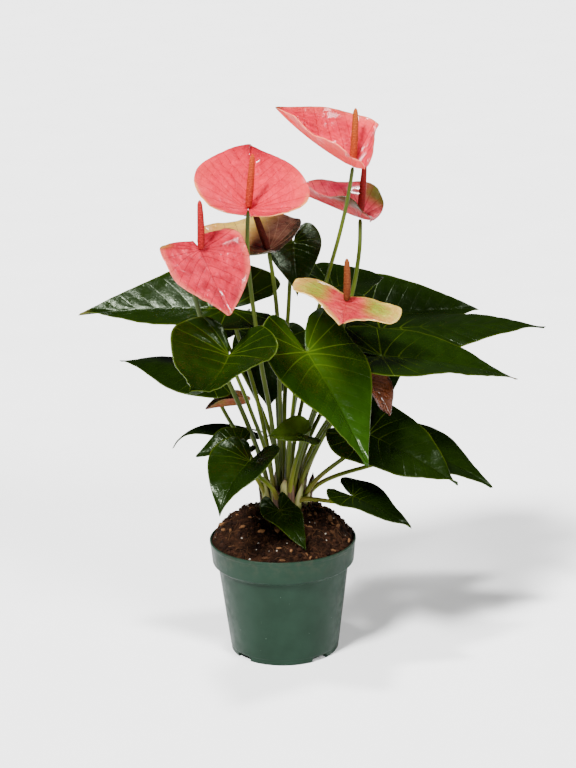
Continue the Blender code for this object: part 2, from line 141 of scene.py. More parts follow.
# One row for each blade. at is where the stalk meets it, in mm from the pot's axis and above the crown.
# heading is where the tip points, in degrees from +X towards +Y, and pitch its slope there. droop is how
# far the midrib bends down by the tip, swing how far it bends left, roll how far the left half is raised,
# fold how far both halves are raised, cup how much more they rise by the edge, lift how far the lobes
# are raised at the back. bow pushes the middle of the stalk, in mm.
Blade = namedtuple("Blade", "at heading pitch droop swing roll fold cup lift length width bow",
                   defaults=[(0, 0, 0)])

LEAVES = {
    "far_left": Blade((-40, 30, 162), 175, 1, 10, 0, -26, 24, -8, 0, 124, 88),
    "mid_left": Blade((-58, 25, 111), 168, 10, 12, 0, -12, -10, -8, 0, 75, 62),
    "front_left": Blade((-38, -68, 151), 247, -28, -54, 0, -6, 30, -6, 40, 84, 94),
    "front_centre": Blade((22, -48, 146), 306, -38, 14, 0, -4, 14, -14, 40, 106, 92, (4, 0, 0)),
    "upper_right": Blade((76, 106, 131), 14, 5, 16, 0, 28, 20, -10, 0, 102, 86),
    "long_right": Blade((84, 60, 134), 7, 1, 8, 0, 14, -4, -10, 0, 141, 77, (0, 4, 0)),
    "lower_right": Blade((82, 0, 128), 9, -7, 16, 0, 14, 12, -8, 0, 118, 80, (-4, 6, 0)),
    "back_centre": Blade((14, 66, 208), 276, -54, 20, 0, 0, 20, -10, 0, 46, 46, (0, -8, 0)),
    "back_right": Blade((46, 84, 164), 35, 6, 16, 0, 22, 16, -10, 0, 56, 56),
    "back_left": Blade((-46, 62, 134), 57, 17, 10, 0, 0, 26, -10, 0, 44, 50, (14, 4, 0)),
    "inner_back": Blade((-6, 88, 116), 262, -58, 8, 0, 0, 6, -10, 20, 56, 66, (0, 10, 0)),
    "inner_right": Blade((80, 32, 111), 296, -51, 10, 0, 0, 14, -10, 20, 32, 42, (0, 4, 0)),
    "low_left": Blade((-25, -45, 57), 236, -16, 50, 0, 0, 24, -10, 30, 56, 62),
    "low_right": Blade((70, -16, 68), 334, -18, 16, 0, 20, 10, -10, 20, 84, 78),
    "low_right_far": Blade((104, 16, 48), 343, -18, 16, 0, 14, 10, -10, 20, 78, 62),
    "low_right_small": Blade((57, -20, 17), 327, -12, 16, 0, 10, 12, -10, 20, 57, 42),
}

# Small leaves, each one piece with its stalk
LEAFLETS = {
    "thin_left": Blade((-35, 45, 58), 163, 8, 70, 0, 0, -30, 0, 0, 68, 28),
    "low_left_back": Blade((-34, -12, 59), 194, 0, 24, 0, -20, 20, -10, 0, 36, 40),
    "young": Blade((18, -25, 71), 210, 12, 10, 0, -30, 20, 0, 0, 33, 34, (-2, 0, 0)),
    "soil_front": Blade((-2, -17, 5), 300, -20, 20, 0, 0, 6, -14, 60, 46, 32),
}

# Spathes without a spadix, one still rolled up and one withered, each one piece with its stalk
ODD_SPATHES = {
    "rolled_left": Blade((-32, 20, 84), 198, 4, 10, 0, 0, 40, 10, 0, 30, 26, (2, -3, 0)),
    "withered_right": Blade((71, -12, 112), 322, -48, 10, 0, 0, 20, 0, 20, 34, 36, (0, -5, 0)),
}

# A spathe is a blade with the spadix standing on it: lean is where that points (heading, slope), in
# degrees, and spadix its length in mm.
Flower = namedtuple("Flower", "spathe lean spadix")
FLOWERS = {
    "top_right": Flower(
        Blade((60, -12, 285), 158, 27, -20, 0, -12, 47, -14, 70, 76, 80, (-7, 5, 0)),
        (60, 82), 42),
    "top_left": Flower(
        Blade((-21, -30, 257), 87, 32, 0, 0, 10, 16, 10, 20, 72, 95),
        (10, 84), 40),
    "front_left": Flower(
        Blade((-58, -55, 231), 306, -50, 0, 0, 4, 6, 2, -70, 58, 74, (0, -8, 0)),
        (90, 88), 36),
    "old_left": Flower(
        Blade((-7, 15, 213), 147, 8, 0, 0, -8, 16, 0, 30, 68, 94),
        (180, 72), 34),
    "right": Flower(
        Blade((67, 30, 235), 160, 20, 0, 0, 0, 34, 0, 20, 62, 68, (0.5, -23, 0)),
        (20, 84), 42),
    "low_right": Flower(
        Blade((54, -14, 177), 265, -4, 0, 0, -18, 6, 0, 40, 50, 88, (2, -13, 0)),
        (60, 88), 32),
}


# How finely a blade is meshed, how wide the crease over a main vein is, as a share of its length, and how
# thick the papery sheaths are
ROWS_PER_MM = 0.62
COLUMNS_PER_MM = 0.24
CREASE_WIDTH = 0.028
SHEATH_THICKNESS = 0.3 * MM

POT_SIDES = 192
DUST_DEPTH = 20.5 * MM
FIBRES = 230
ROOTS = 16

# Lamps, as (name, heading, height and softness in degrees, strength)
SUNS = [("key", 236, 50, 12, 10.0), ("fill", 306, 36, 16, 3.2), ("top", 215, 84, 6, 3.4)]
SKY_STRENGTH = 0.06
FLOOR_SIZE = 30.0

# Where the camera stands, its lens in mm and its pitch, yaw and roll in degrees
CAMERA_AT = (0, -1.6860, 0.7259)
CAMERA_LENS = 102.68
CAMERA_TURN = (-16.52, -0.234, 1.2)


# ---- shapes ----

def turned(vector, axis, degrees):
    return Matrix.Rotation(radians(degrees), 3, axis) @ vector


def pointing(heading, slope):
    """The direction at a heading from +X towards +Y and a slope upwards, in degrees."""
    heading, slope = radians(heading), radians(slope)
    return Vector((cos(heading) * cos(slope), sin(heading) * cos(slope), sin(slope)))


def place(at):
    return Vector(at) * MM + Vector((0, 0, CROWN_TOP))


def axes_at(blade, along=0.0):
    """The blade's own forward, left and up directions at a share of its length."""
    forward = pointing(blade.heading, blade.pitch)
    left = turned(pointing(blade.heading + 90, 0), forward, blade.roll)
    bend = blade.droop * along**1.3 if along > 0 else blade.lift * -along / LOBE
    forward = turned(forward, left, bend)
    up = forward.cross(left)
    forward = turned(forward, up, blade.swing * along)
    left = up.cross(forward)
    return forward, left, up


def smooth(points, at):
    """Places along a Catmull-Rom curve through the points, at counts of points."""
    p = np.asarray(points, float)
    at = np.asarray(at, float)
    padded = np.vstack([2 * p[0] - p[1], p, 2 * p[-1] - p[-2]])
    i = np.clip(at.astype(int), 0, len(p) - 2)
    t = (at - i)[:, None]
    a, b, c, d = (padded[i + k] for k in range(4))
    return 0.5 * (2 * b + (c - a) * t + (2 * a - 5 * b + 4 * c - d) * t**2 + (3 * b - a - 3 * c + d) * t**3)


def rough(points, size, seed, octaves=3):
    """Fractal noise, from -1 to 1, at each point, with features of about a size."""
    offset = Vector((seed * 3.7, seed * 1.3, seed * 2.1))
    return np.array([noise.fractal(Vector(p) / size + offset, 0.9, 2.0, octaves) for p in points])


def add_object(name, data):
    obj = bpy.data.objects.new(name, data)
    bpy.context.scene.collection.objects.link(obj)
    return obj


def mesh_object(name, points, faces, values=None, smooth_shading=True):
    """A mesh piece. values are named point attributes: a number, or a colour of four, for each point."""
    data = bpy.data.meshes.new(name)
    data.from_pydata([tuple(p) for p in points], [], faces)
    for key, value in (values or {}).items():
        value = np.asarray(value, np.float32)
        if value.ndim == 1:
            data.attributes.new(key, "FLOAT", "POINT").data.foreach_set("value", value)
        elif value.shape[1] == 3:
            data.attributes.new(key, "FLOAT_VECTOR", "POINT").data.foreach_set("vector", value.ravel())
        else:
            data.attributes.new(key, "FLOAT_COLOR", "POINT").data.foreach_set("color", value.ravel())
    if smooth_shading:
        data.shade_smooth()
    return add_object(name, data)


def finish_piece(obj, materials, slot, nodes=()):
    for material in materials:
        obj.data.materials.append(material)
    if nodes:
        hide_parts(*nodes)
    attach(obj, "root")
    return obj


def thicken(obj, thickness):
    """Gives a sheet its thickness, half on each side."""
    solid = obj.modifiers.new("thickness", "SOLIDIFY")
    solid.thickness = thickness
    solid.offset = 0
    return solid


def vein_depth(along, out, veins, width):
    """How much of a main vein lies at each place of a blade, from 0 to 1."""
    depth = np.exp(-(out / (width * 1.3)) ** 2) * (along > -0.02)
    for start, reach, power in veins:
        away = np.abs(along - start - reach * out**power)
        depth = np.maximum(depth, np.exp(-(away / width) ** 2) * (1 - 0.6 * out))
    return depth


def blade_shape(blade, along, out, side, lift):
    """The points of a blade, each lifted off its surface by a height."""
    table = np.linspace(-0.38, 1.04, 285)
    axes = [axes_at(blade, t) for t in table]
    forward, left, up = (np.array([[*a[k]] for a in axes]) for k in range(3))
    step = (table[1] - table[0]) * blade.length * MM
    middle = np.vstack([np.zeros(3), np.cumsum((forward[1:] + forward[:-1]) / 2 * step, axis=0)])
    zero = np.array([np.interp(0, table, middle[:, k]) for k in range(3)])
    middle += np.array(place(blade.at)) - zero
    at = [np.stack([np.interp(along, table, grid[:, k]) for k in range(3)], 1) for grid in (middle, left, up)]
    half = blade.width * MM / 2
    start, rise = radians(blade.fold), radians(blade.cup + 0.001)
    angle = start + rise * out
    across = half * (np.sin(angle) - sin(start)) / rise * side
    above = half * (cos(start) - np.cos(angle)) / rise
    normal = at[2] * np.cos(angle)[:, None] - at[1] * (side * np.sin(angle))[:, None]
    return at[0] + at[1] * across[:, None] + at[2] * above[:, None] + normal * lift[:, None]


def blade_grid(outline, rows, columns):
    """The places of a blade's mesh as along, out, side and share arrays, and its faces."""
    last = len(outline.edge) - 1
    counts = np.linspace(0, last, rows + 1)
    edge = smooth(outline.edge, counts)
    lobe_part = smooth(outline.spine[:STALK_ROW + 1], np.minimum(counts, STALK_ROW))
    rib_part = smooth(outline.spine[STALK_ROW:], np.maximum(counts - STALK_ROW, 0))
    on_rib = counts >= STALK_ROW
    spine = np.where(on_rib[:, None], rib_part, lobe_part)
    spine[on_rib, 1] = 0
    edge[:, 1] = np.maximum(edge[:, 1], spine[:, 1])
    places, index = [], {}
    for side in (1, -1):
        for i in range(rows + 1):
            for j in range(columns + 1):
                end = i in (0, rows)
                key = (i, 0 if end else j, 0 if (on_rib[i] and j == 0) or i == rows else side)
                if key not in index:
                    index[key] = len(places)
                    share = 1 - (1 - j / columns) ** 1.25
                    flat = spine[i] * (1 - share) + edge[i] * share
                    places.append((flat[0], flat[1], side, share))
                index[(side, i, j)] = index[key]
    faces = []
    for side in (1, -1):
        for i in range(rows):
            for j in range(columns):
                ring = [index[(side, *c)] for c in ((i, j), (i + 1, j), (i + 1, j + 1), (i, j + 1))]
                ring = list(dict.fromkeys(ring))
                if len(ring) > 2:
                    faces.append(ring if side > 0 else ring[::-1])
    return np.array(places).T, faces


def add_blade(name, blade, outline, relief, paint, colours, materials, slot, seed):
    """A leaf or spathe. colours are named colours that all of its points carry."""
    ruffle, ripples, pucker, crease = relief
    rows = max(36, int(blade.length * ROWS_PER_MM))
    columns = max(12, int(blade.width * COLUMNS_PER_MM))
    (along, out, side, share), faces = blade_grid(outline, rows, columns)
    flat = np.stack([along * blade.length, side * out * blade.width / 2, np.zeros(len(along))], 1)
    depth = vein_depth(along, out, outline.veins, CREASE_WIDTH)
    phase = np.where(side > 0, seed * 1.7, seed * 2.9)
    lift = ruffle * share**2.2 * np.sin(2 * pi * ripples * along + phase)
    lift += pucker * (1 - depth) * (0.6 + 0.4 * rough(flat, 9, seed)) * np.sin(pi * share) ** 0.5
    lift -= crease * depth
    lift += ruffle * 0.7 * rough(flat, 26, seed + 5) * share
    away = np.clip(np.hypot(flat[:, 0], flat[:, 1]) / 6, 0, 1)
    points = blade_shape(blade, along, out, side, lift * away * MM)
    grain = rough(flat, 7, seed + 9)
    tint = np.ones((len(along), 4))
    tint[:, :3] = paint(along, out * side, share, grain)
    values = {"tint": tint, "blade": np.stack([along, out * side, share], 1)}
    for key, value in colours.items():
        values[key] = np.tile((*value, 1), (len(along), 1))
    obj = mesh_object(name, points, faces, values)
    thicken(obj, outline.thickness).material_offset = 1
    return finish_piece(obj, materials, slot, [name])


def stalk_route(foot, end, arriving, bow):
    """Points from a foot on the crown, upright at first, to the end, arriving from below the blade."""
    start = foot + Vector((0, 0, FOOT_RADIUS))
    ease = (end - start).length * 0.3
    leave = start + Vector((0, 0, ease))
    arrive = end - arriving * ease
    points = [foot]
    for k in range(11):
        t = k / 10
        u = 1 - t
        point = u**3 * start + 3 * u**2 * t * leave + 3 * u * t**2 * arrive + t**3 * end
        points.append(point + Vector(bow) * MM * 4 * t * u)
    return points


def tube_mesh(points, radii, sides, ripple=None):
    """Points, faces and (t, turn) of a closed tube. ripple(t, turn) scales its radius."""
    p = np.asarray(points, float)
    tangent = np.gradient(p, axis=0)
    tangent /= np.linalg.norm(tangent, axis=1)[:, None]
    across = np.cross(tangent[0], [0.31, 0.9, 0.05])
    across /= np.linalg.norm(across)
    turn = np.arange(sides) / sides
    rings, marks = [], []
    for k, (centre, way, radius) in enumerate(zip(p, tangent, radii)):
        across = across - way * across.dot(way)
        across /= np.linalg.norm(across)
        other = np.cross(way, across)
        t = k / (len(p) - 1)
        r = radius * (ripple(t, turn) if ripple else 1)
        angle = 2 * pi * turn
        rings.append(centre + np.outer(np.cos(angle) * r, across) + np.outer(np.sin(angle) * r, other))
        marks += [(t, a) for a in turn]
    faces = [(a, d, c, b) for a, b, c, d in bands(len(p), sides)]
    top = (len(p) - 1) * sides
    faces.append(tuple(range(sides))[::-1])
    faces.append(tuple(range(top, top + sides)))
    return np.vstack(rings), faces, np.array(marks)


def circle(count):
    """Angles evenly round a circle."""
    return 2 * pi * np.arange(count) / count


def bands(rings, sides, first=0):
    """The quads between neighbouring rings of points, the rings starting at a first point."""
    for a in range(first, first + (rings - 1) * sides, sides):
        for i in range(sides):
            j = (i + 1) % sides
            yield a + i, a + sides + i, a + sides + j, a + j


def closed_rings(rings, sides):
    """The faces of a shape with a point at each end and rings of points between them."""
    last = rings * sides + 1
    faces = []
    for i in range(sides):
        j = (i + 1) % sides
        faces.append((0, 1 + i, 1 + j))
        faces.append((last, last - sides + j, last - sides + i))
        for a in range(1, last - sides, sides):
            faces.append((a + i, a + sides + i, a + sides + j, a + j))
    return faces


def joined(parts):
    """Several (points, faces, marks) as one."""
    points, faces, marks, start = [], [], [], 0
    for p, f, m in parts:
        points.append(p)
        faces += [tuple(i + start for i in face) for face in f]
        marks.append(m)
        start += len(p)
    return np.vstack(points), faces, np.vstack(marks)


def feet(blades):
    """A foot on the crown for each blade: towards it, further out the lower it stands, then spread apart."""
    spacing = 2 * FOOT_RADIUS + FOOT_GAP
    edge = FOOT_RADIUS * 1.5
    room = Vector((CROWN_WIDTH / 2 - edge, CROWN_DEPTH / 2 - edge))
    centre = Vector((0, CROWN_BACK, CROWN_TOP))
    spots = []
    for blade in blades:
        away = place(blade.at) - centre
        slope = atan2(away.z, away.xy.length)
        spots.append(away.xy.normalized() * room.x * cos(slope) ** 0.7)
    for _ in range(600):
        for i, a in enumerate(spots):
            for b in spots[:i]:
                apart = a - b
                if apart.length < spacing:
                    push = apart.normalized() * (spacing - apart.length) / 2
                    a += push
                    b -= push
        for spot in spots:
            out = hypot(spot.x / room.x, spot.y / room.y)
            if out > 1:
                spot /= out
    return [centre + Vector((spot.x, spot.y, 0)) for spot in spots]


def add_stalk(name, blade, top_radius, foot, leafy, one_piece, materials, seed):
    """A stalk with a sheath swelling at its foot and, on a leaf, the swollen joint under the blade."""
    forward, _, up = axes_at(blade)
    end = place(blade.at)
    end -= up * (top_radius * 0.55 + LEAF_THICKNESS / 2)
    if not one_piece:
        end -= forward * top_radius * 0.6
    arriving = (up + Vector((0, 0, 0.6)) + forward * 0.4).normalized()
    route = stalk_route(foot - Vector((0, 0, 3 * MM)), end, arriving, blade.bow)
    length = sum((b - a).length for a, b in zip(route, route[1:]))
    count = max(24, int(length / (2.4 * MM)))
    points = smooth([tuple(p) for p in route], np.linspace(0, len(route) - 1, count))
    t = np.linspace(0, 1, count)
    radii = FOOT_RADIUS + (top_radius - FOOT_RADIUS) * t
    sheath, sheath_reach = 0.75 * MM, 13 * MM
    radii = radii * 0.92 + sheath * np.exp(-(t * length / sheath_reach) ** 2)
    joint, joint_below, joint_reach = 0.55 * MM, 7 * MM, 5 * MM
    if leafy:
        radii += joint * np.exp(-(((1 - t) * length - joint_below) / joint_reach) ** 4)
    radii[-1] *= 0.7
    wobble = np.array([noise.noise_vector(Vector((seed, 0, s * length / (38 * MM)))) for s in t])
    points[:, :2] += wobble[:, :2] * 0.9 * MM * np.sin(pi * t)[:, None]

    def ripple(s, turn):
        angle = 2 * pi * turn
        return 1 + 0.05 * np.cos(angle * 2 + seed) + 0.02 * np.cos(angle * 5 + s * 9)

    shape, faces, marks = tube_mesh(points, radii, 14, ripple)
    values = {"along": marks[:, 0] * length / MM, "from_top": (1 - marks[:, 0]) * length / MM,
              "turn": marks[:, 1], "shade": np.full(len(shape), (seed * 0.37) % 1)}
    obj = mesh_object(name, shape, faces, values)
    return finish_piece(obj, materials, "stalk_green", [] if one_piece else [name])


def add_spadix(name, flower, colours, material, slot, seed):
    """The finger-shaped spike, covered in tiny flowers as rows of low bumps."""
    up = axes_at(flower.spathe)[2]
    foot = place(flower.spathe.at) + up * SPADIX_RADIUS * 0.45
    way = pointing(*flower.lean)
    length = flower.spadix * MM + SPADIX_RADIUS * 0.5
    around, rows, steps = 15, int(flower.spadix * 0.82), 4
    count = rows * steps + 1
    t = np.linspace(0, 1, count)
    shares = np.interp(t, [0, 0.06, 0.2, 0.5, 0.75, 0.92, 0.975, 1],
                       [0.72, 0.9, 1.0, 0.94, 0.82, 0.66, 0.42, 0.12])
    side = way.cross(Vector((0, 0, 1))).normalized()
    bend = np.sin(pi * t) * 0.4 * MM
    points = np.array([tuple(foot + way * length * s + side * b) for s, b in zip(t, bend)])

    def bump(s, turn):
        row = s * rows
        offset = 0.5 * (np.floor(row) % 2)
        across = np.cos(2 * pi * (turn * around + offset))
        return np.clip(0.5 + 0.5 * across, 0, 1) * (0.5 - 0.5 * cos(2 * pi * (row % 1)))

    def ripple(s, turn):
        return 0.95 + 0.11 * bump(s, turn)

    shape, faces, marks = tube_mesh(points, shares * SPADIX_RADIUS, around * steps, ripple)
    height = np.concatenate([bump(s, np.arange(around * steps) / (around * steps)) for s in t])
    low, high = (np.array(c) for c in colours)
    tint = np.ones((len(shape), 4))
    tint[:, :3] = low + (high - low) * np.clip(marks[:, :1] + 0.12 * np.sin(marks[:, 1:] * 9 + seed), 0, 1)
    obj = mesh_object(name, shape, faces, {"tint": tint, "bump": height})
    return finish_piece(obj, [material], slot, [name])


# ---- materials ----

class Look:
    """A material with one Principled shader, and short ways to build the nodes that feed it. Sizes and
    depths are in mm. Colours and bumps are laid one over another, and finish links the last of them."""

    def __init__(self, name, roughness, ior=1.45, coat=0.0, gloss=None, flesh=0.0):
        self.material = bpy.data.materials.new(name)
        self.material.use_nodes = True
        self.tree = self.material.node_tree
        self.shader = self.tree.nodes["Principled BSDF"]
        uniform = {"Roughness": roughness, "IOR": ior, "Coat Weight": coat, "Coat Roughness": 0.12}
        if gloss:
            uniform["Specular Tint"] = (*gloss, 1)
        if flesh:
            uniform["Subsurface Weight"] = flesh
            uniform["Subsurface Radius"] = (1.0, 0.45, 0.3)
            uniform["Subsurface Scale"] = 1.2 * MM
        for key, value in uniform.items():
            self.shader.inputs[key].default_value = value
        self.where = self.tree.nodes.new("ShaderNodeTexCoord").outputs["Object"]
        self.base = None
        self.normal = None

    def _set(self, socket, value):
        if hasattr(value, "is_linked"):
            self.tree.links.new(value, socket)
        elif value is not None:
            socket.default_value = value

    def _node(self, kind, inputs, **settings):
        node = self.tree.nodes.new(kind)
        for key, value in settings.items():
            setattr(node, key, value)
        for key, value in inputs.items():
            self._set(node.inputs[key], value)
        return node

    def math(self, operation, a, b=None, c=None, clamp=False):
        inputs = {0: a, 1: b, 2: c}
        return self._node("ShaderNodeMath", inputs, operation=operation, use_clamp=clamp).outputs[0]

    def times(self, a, b):
        return self.math("MULTIPLY", a, b)

    def rest(self, value):
        """What value leaves of 1."""
        return self.math("SUBTRACT", 1, value)

    def fit(self, value, low, high, to_low=0.0, to_high=1.0):
        """value taken from one range to another, and held inside it."""
        inputs = {"Value": value, "From Min": low, "From Max": high, "To Min": to_low, "To Max": to_high}
        return self._node("ShaderNodeMapRange", inputs, interpolation_type="SMOOTHSTEP").outputs[0]

    def given(self, name, kind="Fac"):
        """A value that the mesh carries at its points."""
        return self._node("ShaderNodeAttribute", {}, attribute_name=name).outputs[kind]

    def split(self, vector):
        return self._node("ShaderNodeSeparateXYZ", {"Vector": vector}).outputs

    def combine(self, x, y, z):
        return self._node("ShaderNodeCombineXYZ", {"X": x, "Y": y, "Z": z}).outputs[0]

    def noise(self, size, detail=3, roughness=0.55, where=None, distortion=0.0):
        """Noise from 0 to 1 with features of about a size."""
        inputs = {"Vector": where or self.where, "Scale": 1 / (size * MM), "Detail": detail,
                  "Roughness": roughness, "Distortion": distortion}
        return self._node("ShaderNodeTexNoise", inputs).outputs["Fac"]

    def patches(self, size, detail, low, high, to_low=0.0, to_high=1.0):
        return self.fit(self.noise(size, detail), low, high, to_low, to_high)

    def cells(self, size, feature="F1"):
        inputs = {"Vector": self.where, "Scale": 1 / (size * MM)}
        return self._node("ShaderNodeTexVoronoi", inputs, feature=feature).outputs["Distance"]

    def spots(self, size, core, edge):
        """Scattered spots, 1 up to their core and 0 past their edge."""
        return self.fit(self.cells(size), core, edge, 1.0, 0.0)

    def net(self, size, width):
        """A net of fine lines, 1 on a line and 0 away from it."""
        return self.fit(self.cells(size, "DISTANCE_TO_EDGE"), 0.0, width, 1.0, 0.0)

    def mix(self, share, a, b):
        node = self._node("ShaderNodeMix", {}, data_type="RGBA")
        sockets = {socket.identifier: socket for socket in node.inputs}
        self._set(sockets["Factor_Float"], share)
        for key, value in (("A_Color", a), ("B_Color", b)):
            self._set(sockets[key], value if hasattr(value, "is_linked") else (*value, 1))
        return next(socket for socket in node.outputs if socket.identifier == "Result_Color")

    def lay(self, colour, share, *shares):
        """Lays a colour over what is there, by the product of the shares."""
        for other in shares:
            share = self.times(share, other)
        self.base = self.mix(share, self.base, colour)

    def swell(self, height, depth, strength=0.5):
        """Bumps the surface by a height of 0 to 1, where 1 stands a depth."""
        inputs = {"Height": height, "Distance": depth * MM, "Strength": strength, "Normal": self.normal}
        self.normal = self._node("ShaderNodeBump", inputs).outputs[0]

    def finish(self, roughness):
        for key, value in {"Base Color": self.base, "Roughness": roughness, "Normal": self.normal}.items():
            self.tree.links.new(value, self.shader.inputs[key])
        return self.material


def blade_look(name, veins, width, roughness, **settings):
    """A look for one face of a blade, in its own tint: the look, its main veins as thin lines from 0 to 1 on
    the curves that shape the blade, and the places along, across, out and share."""
    look = Look(name, roughness, **settings)
    along, across, share = look.split(look.given("blade", "Vector"))
    out = look.math("ABSOLUTE", across)
    taper = look.math("MULTIPLY_ADD", out, -0.65 * width, width)
    line = look.math("SUBTRACT", 1, look.math("DIVIDE", out, width * 1.5), clamp=True)
    line = look.times(line, look.fit(along, -0.02, 0.01))
    for start, reach, power in veins:
        curve = look.math("MULTIPLY_ADD", look.math("POWER", out, power), reach, start)
        away = look.math("ABSOLUTE", look.math("SUBTRACT", along, curve))
        near = look.math("SUBTRACT", 1, look.math("DIVIDE", away, taper), clamp=True)
        line = look.math("MAXIMUM", line, near)
    look.base = look.given("tint", "Color")
    return look, line, (along, across, out, share)


def leaf_top():
    look, line, (along, _, _, share) = blade_look("leaf_top", LEAF_VEINS, 0.010, 0.3, ior=1.21,
                                                  gloss=(0.8, 0.95, 0.7))
    net = look.net(2.6, 0.16)
    look.lay((0.0012, 0.0036, 0.0002), look.patches(14, 4, 0.3, 0.75, 0.0, 0.30))
    look.lay((0.014, 0.034, 0.001), net, 0.05)
    look.lay((0.060, 0.095, 0.005), line, look.fit(along, 0.0, 0.34, 0.50, 0.025))
    look.lay((0.060, 0.080, 0.005), look.fit(share, 0.965, 1.0), 0.45)
    look.swell(look.noise(8), 0.40)
    look.swell(look.noise(1.1), 0.05)
    look.swell(look.rest(line), 0.16, 0.6)
    look.swell(net, 0.06)
    return look.finish(look.patches(6, 3, 0.3, 0.7, 0.16, 0.28))


def leaf_under():
    look, line, _ = blade_look("leaf_under", LEAF_VEINS, 0.014, 0.5, ior=1.16, gloss=(0.8, 1.0, 0.6))
    look.lay((0.014, 0.026, 0.011), 0.45)
    look.lay((0.006, 0.014, 0.007), look.patches(12, 3, 0.3, 0.8, 0.0, 0.3))
    look.lay((0.03, 0.055, 0.010), line, 0.5)
    look.swell(line, 0.5, 0.9)
    look.swell(look.noise(2.2), 0.12)
    return look.finish(look.patches(5, 3, 0.3, 0.7, 0.42, 0.58))


def spathe_top():
    """Glossy and fleshy, wrinkled along lines that fan out from the stalk."""
    look, line, (along, across, out, share) = blade_look(
        "spathe_top", SPATHE_VEINS, 0.013, 0.2, ior=1.42, coat=0.35, gloss=(1.0, 0.7, 0.75), flesh=0.05)
    vein = look.given("vein", "Color")
    turn = look.math("ARCTAN2", across, look.math("ADD", along, 0.03))
    reach = look.math("SQRT", look.math("ADD", look.math("POWER", along, 2), look.math("POWER", out, 2)))
    fan = look.combine(look.times(turn, 0.020), look.times(reach, 0.011), share)
    wrinkle = look.noise(5, 3, 0.5, where=fan, distortion=0.4)
    net = look.net(7, 0.12)
    look.lay(vein, look.patches(9, 4, 0.38, 0.80, 0.0, 0.28))
    look.lay(vein, look.fit(wrinkle, 0.54, 0.70, 0.0, 0.38))
    look.lay(vein, net, 0.05)
    look.lay(vein, line, 0.65)
    look.lay((0.16, 0.012, 0.008), look.spots(3.4, 0.05, 0.09), look.patches(8, 1, 0.62, 0.66), 0.5)
    look.swell(look.rest(look.math("MAXIMUM", line, look.times(net, 0.12))), 0.6, 0.7)
    look.swell(wrinkle, 2.6, 0.9)
    look.swell(look.noise(7, 2), 2.4, 0.8)
    return look.finish(look.patches(6, 3, 0.35, 0.65, 0.10, 0.26))


def spathe_under():
    look, line, _ = blade_look("spathe_under", SPATHE_VEINS, 0.014, 0.4, ior=1.16, flesh=0.05)
    back = look.given("back", "Color")
    look.lay(back, 0.35)
    look.lay(back, look.patches(7, 3, 0.35, 0.8, 0.0, 0.4))
    look.lay(look.given("vein", "Color"), line, 0.5)
    look.swell(line, 0.4, 0.8)
    look.swell(look.noise(2.0), 0.12)
    return look.finish(look.patches(5, 3, 0.3, 0.7, 0.34, 0.5))


def stalk_skin():
    """Streaked green, paler towards the foot and brown at it, and greener again just under the blade."""
    look = Look("stalk_skin", 0.38, ior=1.22)
    low = look.given("along")
    shade = look.given("shade")
    lengthwise = look.combine(look.times(look.given("turn"), 0.03), look.times(low, 0.00025), shade)
    streak = look.noise(7, 4, where=lengthwise)
    look.base = look.mix(look.fit(streak, 0.3, 0.7), (0.026, 0.044, 0.001), (0.068, 0.092, 0.002))
    look.lay((0.012, 0.020, 0.0015), shade, 0.5)
    pale = look.mix(look.fit(streak, 0.35, 0.65), (0.17, 0.20, 0.018), (0.15, 0.115, 0.022))
    look.lay(pale, look.fit(low, 12, 62, 1.0, 0.0))
    look.lay((0.06, 0.026, 0.007), look.fit(low, 2, 12, 0.8, 0.0))
    look.lay((0.030, 0.046, 0.003), look.fit(look.given("from_top"), 4, 16, 0.6, 0.0))
    look.lay((0.10, 0.10, 0.02), look.spots(2.2, 0.08, 0.16), 0.3)
    look.swell(streak, 0.25, 0.6)
    look.swell(look.noise(0.8, 2), 0.04)
    return look.finish(look.fit(streak, 0.3, 0.7, 0.32, 0.5))


def spadix_skin():
    look = Look("spadix_skin", 0.6, ior=1.18)
    height = look.given("bump")
    tint = look.given("tint", "Color")
    # painted shade: deep is a darker copy of the spadix colour, laid in the low places between the bumps and
    # in the gaps between the florets
    deep = look.mix(0.72, tint, (0.05, 0.004, 0.003))
    floret = look.fit(look.cells(1.7), 0.30, 0.62)
    look.base = look.mix(look.fit(height, 0.1, 0.65), deep, tint)
    look.lay(deep, floret, 0.75)
    # painted light: the tops of the bumps are made lighter and more orange
    look.lay(look.mix(0.5, tint, (0.85, 0.24, 0.05)), look.fit(height, 0.72, 1.0, 0.0, 0.6))
    look.swell(look.rest(floret), 0.35, 0.8)
    look.swell(look.noise(0.35, 2), 0.08, 0.6)
    return look.finish(look.fit(height, 0, 1, 0.7, 0.5))


def soil_dirt():
    look = Look("soil_dirt", 0.9, ior=1.12)
    grain = look.noise(2.4, 6, 0.7)
    look.base = look.mix(look.fit(grain, 0.35, 0.7), (0.0030, 0.0013, 0.0008), (0.022, 0.0095, 0.0045))
    look.lay((0.045, 0.018, 0.008), look.patches(7, 4, 0.45, 0.75, 0.0, 0.6))
    look.lay((0.16, 0.09, 0.045), look.spots(1.5, 0.1, 0.2), look.patches(3, 1, 0.6, 0.64))
    look.swell(grain, 2.0, 1.0)
    look.swell(look.noise(0.6), 0.3, 0.7)
    return look.finish(look.fit(grain, 0.3, 0.7, 0.82, 0.98))


def bits(name, dark, light, size, roughness):
    """Small pieces in the soil, each of its own shade."""
    look = Look(name, roughness, ior=1.15)
    grain = look.noise(size, 5, 0.65)
    look.base = look.mix(look.given("shade"), dark, light)
    look.lay([c * 0.35 for c in dark], look.fit(grain, 0.35, 0.7, 0.0, 0.6))
    look.swell(grain, 0.35, 0.8)
    return look.finish(look.fit(grain, 0.3, 0.7, roughness - 0.1, roughness))


